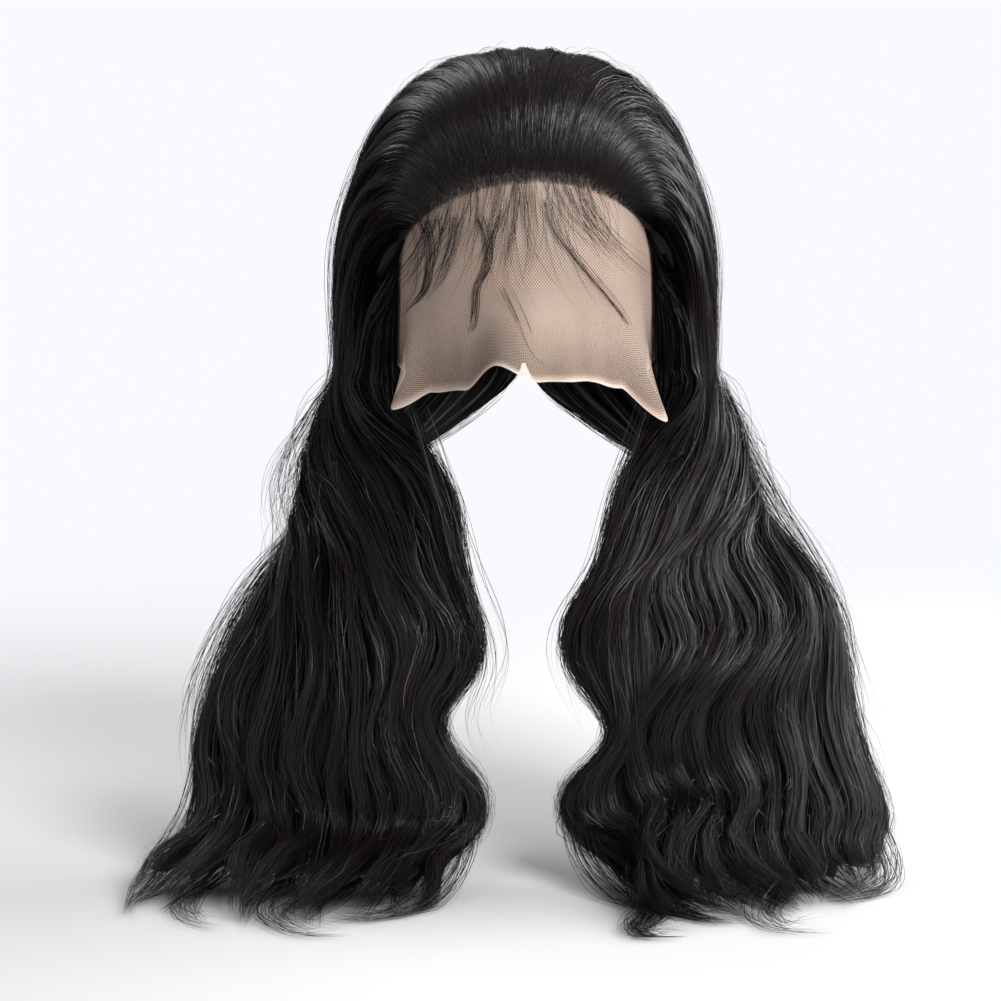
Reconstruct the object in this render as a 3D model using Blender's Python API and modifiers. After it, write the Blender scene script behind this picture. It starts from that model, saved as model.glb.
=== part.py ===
# Lace front wig, as worn: a lace panel and a cap on the head, swept-back crown hair,
# and two long falls of wavy hair brought forward over the shoulders.
# Metres, +Z up, the face looks along -Y. The origin is the top of the head inside the cap.

import math
from typing import NamedTuple

import bmesh
import bpy
from mathutils import Vector

# The head that the cap is made for, as an ellipsoid whose top is the origin.
HEAD_HALF_WIDTH = 0.077
HEAD_HALF_DEPTH = 0.096
HEAD_HALF_HEIGHT = 0.100

CAP_WALL = 0.0015
LACE_WALL = 0.0010
HAIR_CLEARANCE = 0.0032
PIECE_GAP = 0.0004

# Fan angles turn about the line through both ears: 0 is level in front, 90 the top, 180 the back.
SEAM_FAN = 86.0
SEAM_GAP_FAN = 0.4
NAPE_FAN = 214.0
CAP_SIDE = 68.0
CAP_SIDE_SEGMENTS = 20
CAP_FAN_SEGMENTS = 12

LACE_SIDE = 66.0
LACE_SIDE_SEGMENTS = 24
LACE_DOWN_SEGMENTS = 14
LACE_ON_HEAD_SHARE = 0.55
NOSE_PUSH = 0.019
NOSE_SIDE = 13.0
NOSE_TOP_Z = -0.088
NOSE_TIP_Z = -0.138

# The hairline runs from temple to temple; azimuths turn about +Z from straight ahead.
TEMPLE_AZIMUTH = 62.0
NAPE_AZIMUTH = 180.0
HAIRLINE_TOP_Z = -0.043
HAIRLINE_DROP = 0.035
HAIRLINE_POWER = 2.4
HAIRLINE_TILT = 0.003
RIM_Z = -0.150
RIM_SPREAD_POWER = 0.85
SWEEP_LIFT_POWER = 0.7

CROWN_EDGE_THICKNESS = 0.0022
CROWN_TOP_THICKNESS = 0.0225
CROWN_SIDE_THICKNESS = 0.0260
CROWN_SHOULDER = 0.0050
CROWN_RISE = 0.105
CROWN_RIDGES = 9
CROWN_RIDGE_HEIGHT = 0.0026
CROWN_ACROSS_SEGMENTS = 36
CROWN_BACK_SEGMENTS = 15
CROWN_BACK_EASE = 1.2

LOCKS_IN_FALL = 4
LOCK_SIDES = 9
LOCK_RINGS = 17
LOCK_STAGGER = 0.45
LOCK_OVERLAP = 1.34
LOCK_DEPTH_STEP = 0.0038
FALL_GROOVE_SHARE = 0.012
LEVEL_RINGS_TO = 0.35
SQUARE_RINGS_FROM = 0.70
TIP_START = 0.80
TIP_WIDTH = 0.38
TIP_DEPTH = 0.24
TIP_SHORTER = (0.0, 0.05, 0.015, 0.07)


class LaceEdge(NamedTuple):
    """Where the lace's free edge hangs, at one angle to the side of the nose."""

    side: float
    edge_z: float
    flare: float


LACE_EDGES = (
    LaceEdge(-66.0, -0.142, 0.000),
    LaceEdge(-58.0, -0.148, 0.000),
    LaceEdge(-50.0, -0.166, 0.016),
    LaceEdge(-37.0, -0.156, 0.004),
    LaceEdge(-22.0, -0.153, 0.010),
    LaceEdge(-9.0, -0.138, 0.014),
    LaceEdge(4.0, -0.147, 0.003),
    LaceEdge(20.0, -0.148, 0.010),
    LaceEdge(38.0, -0.154, 0.003),
    LaceEdge(50.0, -0.172, 0.021),
    LaceEdge(58.0, -0.148, 0.000),
    LaceEdge(66.0, -0.142, 0.000),
)


class FallRow(NamedTuple):
    """One level section of a side's fall: the hair's edge by the face, its middle and its outer edge."""

    z: float
    inner_x: float
    inner_y: float
    middle_x: float
    middle_y: float
    outer_x: float
    outer_y: float
    thickness: float


RING_TOP = FallRow(RIM_Z, 0.082, -0.056, 0.082, 0.057, 0.004, 0.112, 0.028)
RING_LOW = FallRow(-0.168, 0.077, -0.057, 0.089, 0.052, 0.008, 0.112, 0.030)

RIGHT_ROWS = (
    RING_TOP,
    RING_LOW,
    FallRow(-0.190, 0.064, -0.056, 0.104, 0.032, 0.036, 0.106, 0.036),
    FallRow(-0.215, 0.051, -0.063, 0.108, 0.006, 0.082, 0.080, 0.040),
    FallRow(-0.250, 0.042, -0.077, 0.102, -0.036, 0.128, 0.032, 0.044),
    FallRow(-0.285, 0.021, -0.089, 0.106, -0.072, 0.163, -0.020, 0.044),
    FallRow(-0.333, 0.046, -0.097, 0.098, -0.093, 0.179, -0.052, 0.042),
    FallRow(-0.368, 0.023, -0.106, 0.090, -0.106, 0.187, -0.078, 0.038),
    FallRow(-0.393, 0.036, -0.122, 0.102, -0.128, 0.197, -0.102, 0.030),
    FallRow(-0.404, 0.062, -0.205, 0.112, -0.192, 0.180, -0.140, 0.018),
)

LEFT_ROWS = (
    RING_TOP,
    RING_LOW,
    FallRow(-0.190, 0.057, -0.057, 0.103, 0.032, 0.036, 0.106, 0.036),
    FallRow(-0.215, 0.041, -0.070, 0.105, 0.008, 0.082, 0.080, 0.040),
    FallRow(-0.250, 0.036, -0.080, 0.096, -0.038, 0.116, 0.032, 0.044),
    FallRow(-0.288, 0.026, -0.090, 0.090, -0.076, 0.148, -0.026, 0.044),
    FallRow(-0.327, 0.046, -0.096, 0.102, -0.092, 0.171, -0.056, 0.042),
    FallRow(-0.368, 0.026, -0.105, 0.094, -0.105, 0.176, -0.078, 0.038),
    FallRow(-0.394, 0.036, -0.122, 0.104, -0.126, 0.188, -0.104, 0.030),
    FallRow(-0.404, 0.058, -0.168, 0.116, -0.204, 0.206, -0.158, 0.018),
)


class HairMaterial(NamedTuple):
    """The look of one material in this model."""

    colour: tuple
    roughness: float


BLACK_HAIR = HairMaterial((0.012, 0.009, 0.008, 1.0), 0.38)
BEIGE_LACE = HairMaterial((0.62, 0.42, 0.31, 1.0), 0.70)
BLACK_NET = HairMaterial((0.020, 0.017, 0.016, 1.0), 0.80)


def clear_scene():
    for obj in list(bpy.data.objects):
        bpy.data.objects.remove(obj, do_unlink=True)


def make_collection(name):
    collection = bpy.data.collections.new(name)
    bpy.context.scene.collection.children.link(collection)
    return collection


def make_material(name, look):
    material = bpy.data.materials.new(name)
    material.use_nodes = True
    shader = material.node_tree.nodes["Principled BSDF"]
    shader.inputs["Base Color"].default_value = look.colour
    shader.inputs["Roughness"].default_value = look.roughness
    shader.inputs["Metallic"].default_value = 0.0
    return material


def smoothstep(low, high, value):
    t = min(max((value - low) / (high - low), 0.0), 1.0)
    return t * t * (3.0 - 2.0 * t)


def through(before, start, end, after, t):
    """Catmull-Rom value between start and end."""
    return 0.5 * (
        2.0 * start
        + (end - before) * t
        + (2.0 * before - 5.0 * start + 4.0 * end - after) * t * t
        + (3.0 * start - before - 3.0 * end + after) * t * t * t
    )


def row_at(rows, share):
    """The row a share of the way down the table, smooth in every column."""
    last = len(rows) - 1
    place = min(max(share, 0.0), 1.0) * last
    index = min(int(place), last - 1)
    picked = [rows[min(max(index + step, 0), last)] for step in (-1, 0, 1, 2)]
    values = [through(*column, place - index) for column in zip(*picked)]
    return type(rows[0])(*values)


def between(rows, key, value):
    """The row at a value of its first column, straight between neighbours and eased."""
    for low, high in zip(rows, rows[1:]):
        if value <= getattr(high, key):
            t = smoothstep(getattr(low, key), getattr(high, key), value)
            return type(low)(*(a + (b - a) * t for a, b in zip(low, high)))
    return rows[-1]


def mesh_object(name, collection, faces_of, material):
    """A new object whose mesh is filled by faces_of, facing out."""
    mesh = bpy.data.meshes.new(name)
    work = bmesh.new()
    faces_of(work)
    bmesh.ops.recalc_face_normals(work, faces=work.faces)
    work.to_mesh(mesh)
    work.free()
    mesh.materials.append(material)
    mesh.shade_smooth()
    obj = bpy.data.objects.new(name, mesh)
    collection.objects.link(obj)
    return obj


def mapped_sheet(name, collection, across, down, place, wall, material):
    """A grid bent over the head by place(u, v), both from 0 to 1, thickened outwards."""

    def faces_of(work):
        bmesh.ops.create_grid(work, x_segments=across, y_segments=down, size=1.0)
        for vert in work.verts:
            vert.co = place((vert.co.x + 1.0) / 2.0, (vert.co.y + 1.0) / 2.0)

    obj = mesh_object(name, collection, faces_of, material)
    centre = Vector((0.0, 0.0, -HEAD_HALF_HEIGHT))
    face = obj.data.polygons[0]
    if face.normal.dot(face.center - centre) < 0.0:
        obj.data.flip_normals()
    solid = obj.modifiers.new("Wall", "SOLIDIFY")
    solid.thickness = wall
    solid.offset = 1.0
    solid.use_even_offset = True
    return obj


def on_head(fan, side):
    """A point of the head's surface by its fan angle and its angle towards the ear, in degrees."""
    turn, lean = math.radians(fan), math.radians(side)
    return Vector((
        HEAD_HALF_WIDTH * math.sin(lean),
        -HEAD_HALF_DEPTH * math.cos(lean) * math.cos(turn),
        HEAD_HALF_HEIGHT * (math.cos(lean) * math.sin(turn) - 1.0),
    ))


def cap_point(across, down):
    fan = SEAM_FAN + SEAM_GAP_FAN + (NAPE_FAN - SEAM_FAN - SEAM_GAP_FAN) * down
    return on_head(fan, CAP_SIDE * (2.0 * across - 1.0))


def lace_point(across, down):
    """The lace from its seam, over the forehead, and hanging free in front of the face."""
    side = LACE_SIDE * (2.0 * across - 1.0)
    if down < LACE_ON_HEAD_SHARE:
        return on_head(SEAM_FAN * (1.0 - down / LACE_ON_HEAD_SHARE), side)
    edge = between(LACE_EDGES, "side", side)
    hang = (down - LACE_ON_HEAD_SHARE) / (1.0 - LACE_ON_HEAD_SHARE)
    point = on_head(0.0, side)
    point.z += (edge.edge_z + HEAD_HALF_HEIGHT) * hang
    outward = Vector((point.x, point.y, 0.0)).normalized()
    nose = NOSE_PUSH * math.exp(-((side / NOSE_SIDE) ** 2))
    nose *= smoothstep(NOSE_TOP_Z, NOSE_TIP_Z, point.z)
    return point + outward * (edge.flare * hang * hang + nose)


def direction(azimuth, level):
    """Unit vector at an azimuth in degrees whose height on the unit ball is level."""
    flat = math.sqrt(max(1.0 - level * level, 0.0))
    turn = math.radians(azimuth)
    return Vector((flat * math.sin(turn), -flat * math.cos(turn), level))


def level_of(z):
    return z / HEAD_HALF_HEIGHT + 1.0


def sweep_direction(across, back):
    """Where hair that roots at across (-1 to 1) on the hairline has got to, back (0 to 1) of the way."""
    reach = abs(across)
    sign = -1.0 if across < 0.0 else 1.0
    hairline_z = HAIRLINE_TOP_Z - HAIRLINE_DROP * reach**HAIRLINE_POWER + HAIRLINE_TILT * across
    root = direction(TEMPLE_AZIMUTH * across, level_of(hairline_z))
    spread = (NAPE_AZIMUTH - TEMPLE_AZIMUTH) * reach**RIM_SPREAD_POWER
    rim = direction(sign * (NAPE_AZIMUTH - spread), level_of(RIM_Z))
    lift = (1.0 - reach) ** SWEEP_LIFT_POWER
    over = ((root + rim) * (0.5 * (1.0 - lift)) + Vector((0.0, 0.0, lift))).normalized()
    return root.slerp(over, back).slerp(over.slerp(rim, back), back)


def hair_point(way, proud):
    """A point this far proud of the head; below its widest level, hair hangs straight."""
    if way.z > 0.0:
        return Vector((
            (HEAD_HALF_WIDTH + proud) * way.x,
            (HEAD_HALF_DEPTH + proud) * way.y,
            (HEAD_HALF_HEIGHT + proud) * way.z - HEAD_HALF_HEIGHT,
        ))
    flat = Vector((way.x, way.y)).normalized()
    return Vector((
        (HEAD_HALF_WIDTH + proud) * flat.x,
        (HEAD_HALF_DEPTH + proud) * flat.y,
        HEAD_HALF_HEIGHT * (way.z - 1.0),
    ))


def crown_thickness(across, back, way):
    """Thin at the hairline, full behind it, with a ridge for each lock."""
    height = max(way.z, 0.0)
    full = CROWN_TOP_THICKNESS + (CROWN_SIDE_THICKNESS - CROWN_TOP_THICKNESS) * (1.0 - height)
    full += CROWN_SHOULDER * math.sin(math.pi * height**3)
    rise = 1.0 - math.exp(-back / CROWN_RISE)
    ridge = abs(math.cos(math.pi * CROWN_RIDGES * across)) * CROWN_RIDGE_HEIGHT * rise
    return CROWN_EDGE_THICKNESS + (full - CROWN_EDGE_THICKNESS) * rise + ridge


def crown_surface(outer):
    """The crown hair's outer or inner surface as rows of points, hairline first."""
    rows = []
    for row in range(CROWN_BACK_SEGMENTS + 1):
        back = (row / CROWN_BACK_SEGMENTS) ** CROWN_BACK_EASE
        points = []
        for column in range(CROWN_ACROSS_SEGMENTS + 1):
            across = 2.0 * column / CROWN_ACROSS_SEGMENTS - 1.0
            way = sweep_direction(across, back)
            proud = HAIR_CLEARANCE
            if outer:
                proud += crown_thickness(across, back, way)
            points.append(hair_point(way, proud))
        rows.append(points)
    return rows


def build_crown_hair(collection, material):
    """The swept-back hair over the cap: two bent sheets joined along their edges."""

    def faces_of(work):
        sheets = [
            [[work.verts.new(point) for point in row] for row in crown_surface(outer)]
            for outer in (True, False)
        ]
        for sheet in sheets:
            for upper, lower in zip(sheet, sheet[1:]):
                for k in range(CROWN_ACROSS_SEGMENTS):
                    work.faces.new((upper[k], upper[k + 1], lower[k + 1], lower[k]))
        outer, inner = sheets
        edges = (
            (outer[0], inner[0]),
            (outer[-1], inner[-1]),
            ([row[0] for row in outer], [row[0] for row in inner]),
            ([row[-1] for row in outer], [row[-1] for row in inner]),
        )
        for top, bottom in edges:
            for k in range(len(top) - 1):
                work.faces.new((top[k], top[k + 1], bottom[k + 1], bottom[k]))

    return mesh_object("crown_hair", collection, faces_of, material)


def fall_point(rows, side, across, down):
    """The middle of a fall's depth, across (0 by the face, 1 outside) and down (0 to 1)."""
    row = row_at(rows, down)
    inner = (1.0 - across) * (1.0 - 2.0 * across)
    middle = 4.0 * across * (1.0 - across)
    outer = across * (2.0 * across - 1.0)
    return Vector((
        side * (inner * row.inner_x + middle * row.middle_x + outer * row.outer_x),
        inner * row.inner_y + middle * row.middle_y + outer * row.outer_y,
        row.z,
    ))


def lock_ring(rows, side, across, half_share, down, lock):
    """One ring of a lock: an ellipse, level near the crown and square to the lock's run lower down."""
    step = 0.01
    centre = fall_point(rows, side, across, down)
    edges = [fall_point(rows, side, across + sign * half_share, down) for sign in (1.0, -1.0)]
    wide = edges[0] - edges[1]
    if down == 0.0:
        centre.z -= PIECE_GAP * (1.0 + 0.4 * (lock % 2))
    run = fall_point(rows, side, across, min(down + step, 1.0))
    run -= fall_point(rows, side, across, max(down - step, 0.0))
    turned = smoothstep(LEVEL_RINGS_TO, SQUARE_RINGS_FROM, down)
    run = Vector((0.0, 0.0, -1.0)).lerp(run.normalized(), turned).normalized()
    half_width = wide.length / 2.0
    deep = run.cross(wide).normalized()
    wide = deep.cross(run).normalized()
    narrowed = smoothstep(TIP_START, 1.0, down)
    half_width *= 1.0 - (1.0 - TIP_WIDTH) * narrowed
    tip = 1.0 - (1.0 - TIP_DEPTH) * narrowed
    half_depth = row_at(rows, down).thickness / 2.0 * tip
    forward = -1.0 if deep.dot(Vector((side, -1.0, 0.0))) < 0.0 else 1.0
    proud = LOCK_DEPTH_STEP * (1.0 if lock % 2 else -1.0) * smoothstep(0.0, 0.25, down) * tip
    centre += deep * forward * proud
    ring = []
    for k in range(LOCK_SIDES):
        turn = 2.0 * math.pi * k / LOCK_SIDES
        ring.append(centre + wide * half_width * math.cos(turn) + deep * half_depth * math.sin(turn))
    return ring


def build_lock(name, collection, material, rows, side, across, half_share, lock):
    """One tapering lock from the crown's rim to its tip."""

    def faces_of(work):
        rings = []
        for k in range(LOCK_RINGS + 1):
            inside = 0 < k < LOCK_RINGS
            down = (k + LOCK_STAGGER * (lock % 2) * inside) / LOCK_RINGS
            down *= 1.0 - TIP_SHORTER[lock % len(TIP_SHORTER)]
            ring = lock_ring(rows, side, across, half_share, down, lock)
            rings.append([work.verts.new(point) for point in ring])
        for upper, lower in zip(rings, rings[1:]):
            for k in range(LOCK_SIDES):
                after = (k + 1) % LOCK_SIDES
                work.faces.new((upper[k], upper[after], lower[after], lower[k]))
        work.faces.new(rings[0])
        work.faces.new(rings[-1])
        bmesh.ops.triangulate(work, faces=work.faces[:])

    return mesh_object(name, collection, faces_of, material)


def build_fall(name, parts, cutters, material, rows, side, start, end):
    """A fall of locks fused into one body, over the share of a side from start to end."""
    half_share = (end - start) / LOCKS_IN_FALL / 2.0 * LOCK_OVERLAP
    spacing = (end - start - 2.0 * half_share) / (LOCKS_IN_FALL - 1)
    first = None
    for lock in range(LOCKS_IN_FALL):
        across = start + half_share + spacing * lock
        home = cutters if first else parts
        label = f"{name}_lock_{lock}" if first else name
        obj = build_lock(label, home, material, rows, side, across, half_share, lock)
        if first is None:
            first = obj
            continue
        obj.hide_render = True
        obj.display_type = "WIRE"
        fuse = first.modifiers.new(f"Fuse {lock}", "BOOLEAN")
        fuse.operation = "UNION"
        fuse.solver = "EXACT"
        fuse.object = obj
    return first


def main():
    clear_scene()
    parts = make_collection("lace_front_wig")
    helpers = make_collection("helpers")
    hair = make_material("black_hair", BLACK_HAIR)
    lace = make_material("beige_lace", BEIGE_LACE)
    net = make_material("black_net", BLACK_NET)

    mapped_sheet("cap", parts, CAP_SIDE_SEGMENTS, CAP_FAN_SEGMENTS, cap_point, CAP_WALL, net)
    mapped_sheet("lace_front", parts, LACE_SIDE_SEGMENTS, LACE_DOWN_SEGMENTS, lace_point, LACE_WALL, lace)
    build_crown_hair(parts, hair)

    middle = 0.5
    for label, rows, side in (("left", LEFT_ROWS, -1.0), ("right", RIGHT_ROWS, 1.0)):
        front = (0.0, middle - FALL_GROOVE_SHARE)
        back = (middle + FALL_GROOVE_SHARE, 1.0)
        build_fall(f"{label}_front_fall", parts, helpers, hair, rows, side, *front)
        build_fall(f"{label}_back_fall", parts, helpers, hair, rows, side, *back)


main()
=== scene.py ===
"""Lace front wig: the looks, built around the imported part.

The hair is one flow that starts at the hairline, sweeps back over the crown and hangs in two falls.
Dark cores fill the hair's body, and many fine ribbons lie over them as strands, wisps and flyaways.
Metres, +Z up, the front looks along -Y, and the origin is the top of the hollow inside the cap.
"""

import logging
import math
from dataclasses import dataclass, field
from enum import Enum
from typing import NamedTuple, Optional, Sequence, Union

import bpy
import numpy as np
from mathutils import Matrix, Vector

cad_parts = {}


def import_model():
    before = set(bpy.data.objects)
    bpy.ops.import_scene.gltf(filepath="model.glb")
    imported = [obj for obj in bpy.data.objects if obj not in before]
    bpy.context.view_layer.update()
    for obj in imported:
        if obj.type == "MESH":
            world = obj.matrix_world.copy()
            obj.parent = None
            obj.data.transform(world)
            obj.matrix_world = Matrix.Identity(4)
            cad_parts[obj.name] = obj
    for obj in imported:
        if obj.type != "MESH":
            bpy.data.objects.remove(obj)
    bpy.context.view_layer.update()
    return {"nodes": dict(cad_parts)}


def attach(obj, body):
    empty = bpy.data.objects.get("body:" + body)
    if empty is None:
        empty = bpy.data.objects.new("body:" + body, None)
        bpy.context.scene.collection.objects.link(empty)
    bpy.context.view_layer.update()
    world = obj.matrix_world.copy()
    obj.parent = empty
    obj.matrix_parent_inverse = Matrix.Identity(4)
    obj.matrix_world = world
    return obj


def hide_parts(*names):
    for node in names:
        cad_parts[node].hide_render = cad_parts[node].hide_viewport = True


LOG = logging.getLogger("lace_front_wig")
BODY = "root"
BAKE_MAP = "OFBake"

# The strips that a piece's map is cut into: each strand lies in one, which sets its tone
STRIPS = 48
# Patches of tone for each strip: under one, so that a strand keeps about one tone across
TONE_PATCHES = 0.83
# How far hair reaches to the sides and the front before it is drawn in, and over what length
SIDE_REACH = 0.193
FRONT_REACH = 0.207
REIN = 0.013
# Where a ribbon's edges and its ends lie in its strip of the map
STRIP_EDGES = (0.04, 0.96)
STRIP_ENDS = (0.002, 0.998)
# The highest tone, which still falls in the last strip
TOP_TONE = 0.999
# How far past a ribbon's ends its tapers reach, so that some width is left there
PAST_ROOT = 0.02
PAST_TIP = 0.03

Array = np.ndarray
Number = Union[int, float]
Colour = tuple[float, float, float]


class Side(Enum):
    """The viewer's left or right, as the sign of X."""

    LEFT = -1.0
    RIGHT = 1.0


class Slot(Enum):
    """Three names of material slots."""

    HAIR = "black_hair"
    LACE = "beige_lace"
    NET = "black_net"


class FallRow(NamedTuple):
    """One level section of a side's fall: its edge by the front opening, its middle and its outer edge."""

    z: float
    inner_x: float
    inner_y: float
    middle_x: float
    middle_y: float
    outer_x: float
    outer_y: float
    thickness: float


class LaceEdge(NamedTuple):
    """Where the lace's free edge hangs, at one angle to the side."""

    side: float
    edge_z: float
    flare: float


class Place(NamedTuple):
    """A point in metres: on a loose lock's way, or where a light or the camera is."""

    x: float
    y: float
    z: float


class WaveKnot(NamedTuple):
    """How far a fall's hair sways at one column, and the height where it swings furthest to +X."""

    column: float
    sway: float
    crest_z: float


class Trace(NamedTuple):
    """A point that a wisp passes on the lace, seen from the front, in metres."""

    x: float
    z: float


def eased(low: float, high: float, value: Union[float, Array]) -> Union[float, Array]:
    """Smooth step from 0 at low to 1 at high.

    Args:
        low: the value where the step starts.
        high: the value where it ends.
        value: a number or an array of them.

    Returns:
        The step's height there, from 0 to 1.
    """
    t = np.clip((value - low) / (high - low), 0.0, 1.0)
    return t * t * (3.0 - 2.0 * t)


def unit(vectors: Array) -> Array:
    """Vectors along the last axis, made one long."""
    return vectors / np.maximum(np.linalg.norm(vectors, axis=-1, keepdims=True), 1e-9)


def turned_between(start: Array, end: Array, share: Array) -> Array:
    """Directions turned from start towards end at an even rate.

    Args:
        start: unit vectors.
        end: unit vectors.
        share: 0 at start and 1 at end, with a last axis of one.

    Returns:
        Unit vectors.
    """
    angle = np.arccos(np.clip((start * end).sum(-1, keepdims=True), -1.0, 1.0))
    sine = np.sin(angle)
    safe = np.where(sine < 1e-5, 1.0, sine)
    mixed = (np.sin((1.0 - share) * angle) * start + np.sin(share * angle) * end) / safe
    return np.where(sine < 1e-5, start, mixed)


def smooth_through(points: Array, share: Array) -> Array:
    """Catmull-Rom curve through rows of values.

    Args:
        points: the values, one row for each knot.
        share: places along it, from 0 to 1.

    Returns:
        One row of values for each share.
    """
    last = len(points) - 1
    place = np.clip(share, 0.0, 1.0) * last
    index = np.minimum(place.astype(int), last - 1)
    t = (place - index)[:, None]
    before, start, end, after = (points[np.clip(index + step, 0, last)] for step in (-1, 0, 1, 2))
    return 0.5 * (
        2.0 * start
        + (end - before) * t
        + (2.0 * before - 5.0 * start + 4.0 * end - after) * t * t
        + (3.0 * start - before - 3.0 * end + after) * t * t * t
    )


def softened(values: Array, axis: int, passes: int) -> Array:
    """Values averaged with their neighbours along an axis, with the ends kept.

    Args:
        values: any array.
        axis: the axis along which it is smoothed.
        passes: how often.

    Returns:
        The smoothed copy.
    """
    moved = np.moveaxis(values.copy(), axis, 0)
    for _ in range(passes):
        moved[1:-1] = 0.25 * moved[:-2] + 0.5 * moved[1:-1] + 0.25 * moved[2:]
    return np.moveaxis(moved, 0, axis)


@dataclass(frozen=True)
class HeadForm:
    """The form that the cap is made for: an ellipsoid with the origin on top, and the hair's sweep."""

    half_width: float = 0.077
    half_depth: float = 0.096
    half_height: float = 0.100
    temple_azimuth: float = 62.0
    nape_azimuth: float = 180.0
    hairline_top_z: float = -0.043
    hairline_drop: float = 0.035
    hairline_power: float = 2.4
    hairline_tilt: float = 0.003
    rim_z: float = -0.150
    rim_spread_power: float = 0.85
    sweep_lift_power: float = 0.7
    hair_clearance: float = 0.0032
    edge_thickness: float = 0.0022
    top_thickness: float = 0.0225
    side_thickness: float = 0.0260
    shoulder: float = 0.0050
    rise: float = 0.105
    temple_delay: float = 3.4
    temple_power: int = 5
    root_proud: float = 0.0012
    root_lift_share: float = 0.07

    def direction(self, azimuth: Array, level: Array) -> Array:
        """Unit vectors from the form's middle.

        Args:
            azimuth: turns from straight ahead, in degrees, above 0 on the viewer's right.
            level: heights on a ball of radius one.

        Returns:
            The vectors.
        """
        flat = np.sqrt(np.maximum(1.0 - level * level, 0.0))
        turn = np.radians(azimuth)
        return np.stack([flat * np.sin(turn), -flat * np.cos(turn), level], -1)

    def sweep(self, across: Array, back: Array) -> Array:
        """Where hair has got to on its way from the hairline to the rim.

        Args:
            across: -1 at the left temple, 0 in the middle and 1 at the right temple.
            back: 0 at the hairline and 1 at the rim.

        Returns:
            Unit vectors from the form's middle.
        """
        reach = np.abs(across)
        sign = np.where(across < 0.0, -1.0, 1.0)
        hairline = self.hairline_top_z - self.hairline_drop * reach**self.hairline_power
        hairline = hairline + self.hairline_tilt * across
        root = self.direction(self.temple_azimuth * across, hairline / self.half_height + 1.0)
        spread = (self.nape_azimuth - self.temple_azimuth) * reach**self.rim_spread_power
        level = np.full_like(reach, self.rim_z / self.half_height + 1.0)
        rim = self.direction(sign * (self.nape_azimuth - spread), level)
        lift = ((1.0 - reach) ** self.sweep_lift_power)[..., None]
        over = unit((root + rim) * (0.5 * (1.0 - lift)) + np.array([0.0, 0.0, 1.0]) * lift)
        share = back[..., None]
        return turned_between(turned_between(root, over, share), turned_between(over, rim, share), share)

    def thickness(self, back: Array, way: Array, reach: Array) -> Array:
        """The crown hair's depth: thin at the hairline and full behind it, later so at the temples.

        Args:
            back: 0 at the hairline and 1 at the rim.
            way: unit vectors from the form's middle.
            reach: 0 in the middle and 1 at the temples.

        Returns:
            The depths in metres.
        """
        height = np.maximum(way[..., 2], 0.0)
        full = self.top_thickness + (self.side_thickness - self.top_thickness) * (1.0 - height)
        full = full + self.shoulder * np.sin(math.pi * height**3)
        rise = self.rise * (1.0 + self.temple_delay * reach**self.temple_power)
        return self.edge_thickness + (full - self.edge_thickness) * (1.0 - np.exp(-back / rise))

    def point(self, way: Array, proud: Array) -> Array:
        """Points this far proud of the form; below its widest level, hair hangs straight.

        Args:
            way: unit vectors from the form's middle.
            proud: distances from the form's surface.

        Returns:
            Places in metres.
        """
        high = way[..., 2] > 0.0
        flat = unit(np.where(high[..., None], way, way * np.array([1.0, 1.0, 0.0])))
        x = (self.half_width + proud) * flat[..., 0]
        y = (self.half_depth + proud) * flat[..., 1]
        above = (self.half_height + proud) * way[..., 2] - self.half_height
        below = self.half_height * (way[..., 2] - 1.0)
        return np.stack([x, y, np.where(high, above, below)], -1)


HEAD = HeadForm()

RING_TOP = FallRow(HEAD.rim_z, 0.082, -0.056, 0.082, 0.057, 0.004, 0.112, 0.028)
RING_LOW = FallRow(-0.168, 0.077, -0.057, 0.089, 0.052, 0.008, 0.112, 0.030)

FALL_ROWS = {
    Side.RIGHT: (
        RING_TOP,
        RING_LOW,
        FallRow(-0.190, 0.064, -0.056, 0.104, 0.032, 0.036, 0.106, 0.036),
        FallRow(-0.215, 0.051, -0.063, 0.108, 0.006, 0.082, 0.080, 0.040),
        FallRow(-0.250, 0.042, -0.077, 0.102, -0.036, 0.128, 0.032, 0.044),
        FallRow(-0.285, 0.021, -0.089, 0.106, -0.072, 0.163, -0.020, 0.044),
        FallRow(-0.333, 0.046, -0.097, 0.098, -0.093, 0.179, -0.052, 0.042),
        FallRow(-0.368, 0.023, -0.106, 0.090, -0.106, 0.187, -0.078, 0.038),
        FallRow(-0.393, 0.036, -0.122, 0.102, -0.128, 0.197, -0.102, 0.030),
        FallRow(-0.404, 0.062, -0.205, 0.112, -0.192, 0.180, -0.140, 0.018),
    ),
    Side.LEFT: (
        RING_TOP,
        RING_LOW,
        FallRow(-0.190, 0.057, -0.057, 0.103, 0.032, 0.036, 0.106, 0.036),
        FallRow(-0.215, 0.041, -0.070, 0.105, 0.008, 0.082, 0.080, 0.040),
        FallRow(-0.250, 0.036, -0.080, 0.096, -0.038, 0.116, 0.032, 0.044),
        FallRow(-0.288, 0.026, -0.090, 0.090, -0.076, 0.148, -0.026, 0.044),
        FallRow(-0.327, 0.046, -0.096, 0.102, -0.092, 0.171, -0.056, 0.042),
        FallRow(-0.368, 0.026, -0.105, 0.094, -0.105, 0.176, -0.078, 0.038),
        FallRow(-0.394, 0.036, -0.122, 0.104, -0.126, 0.188, -0.104, 0.030),
        FallRow(-0.404, 0.058, -0.168, 0.116, -0.204, 0.206, -0.158, 0.018),
    ),
}

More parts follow.
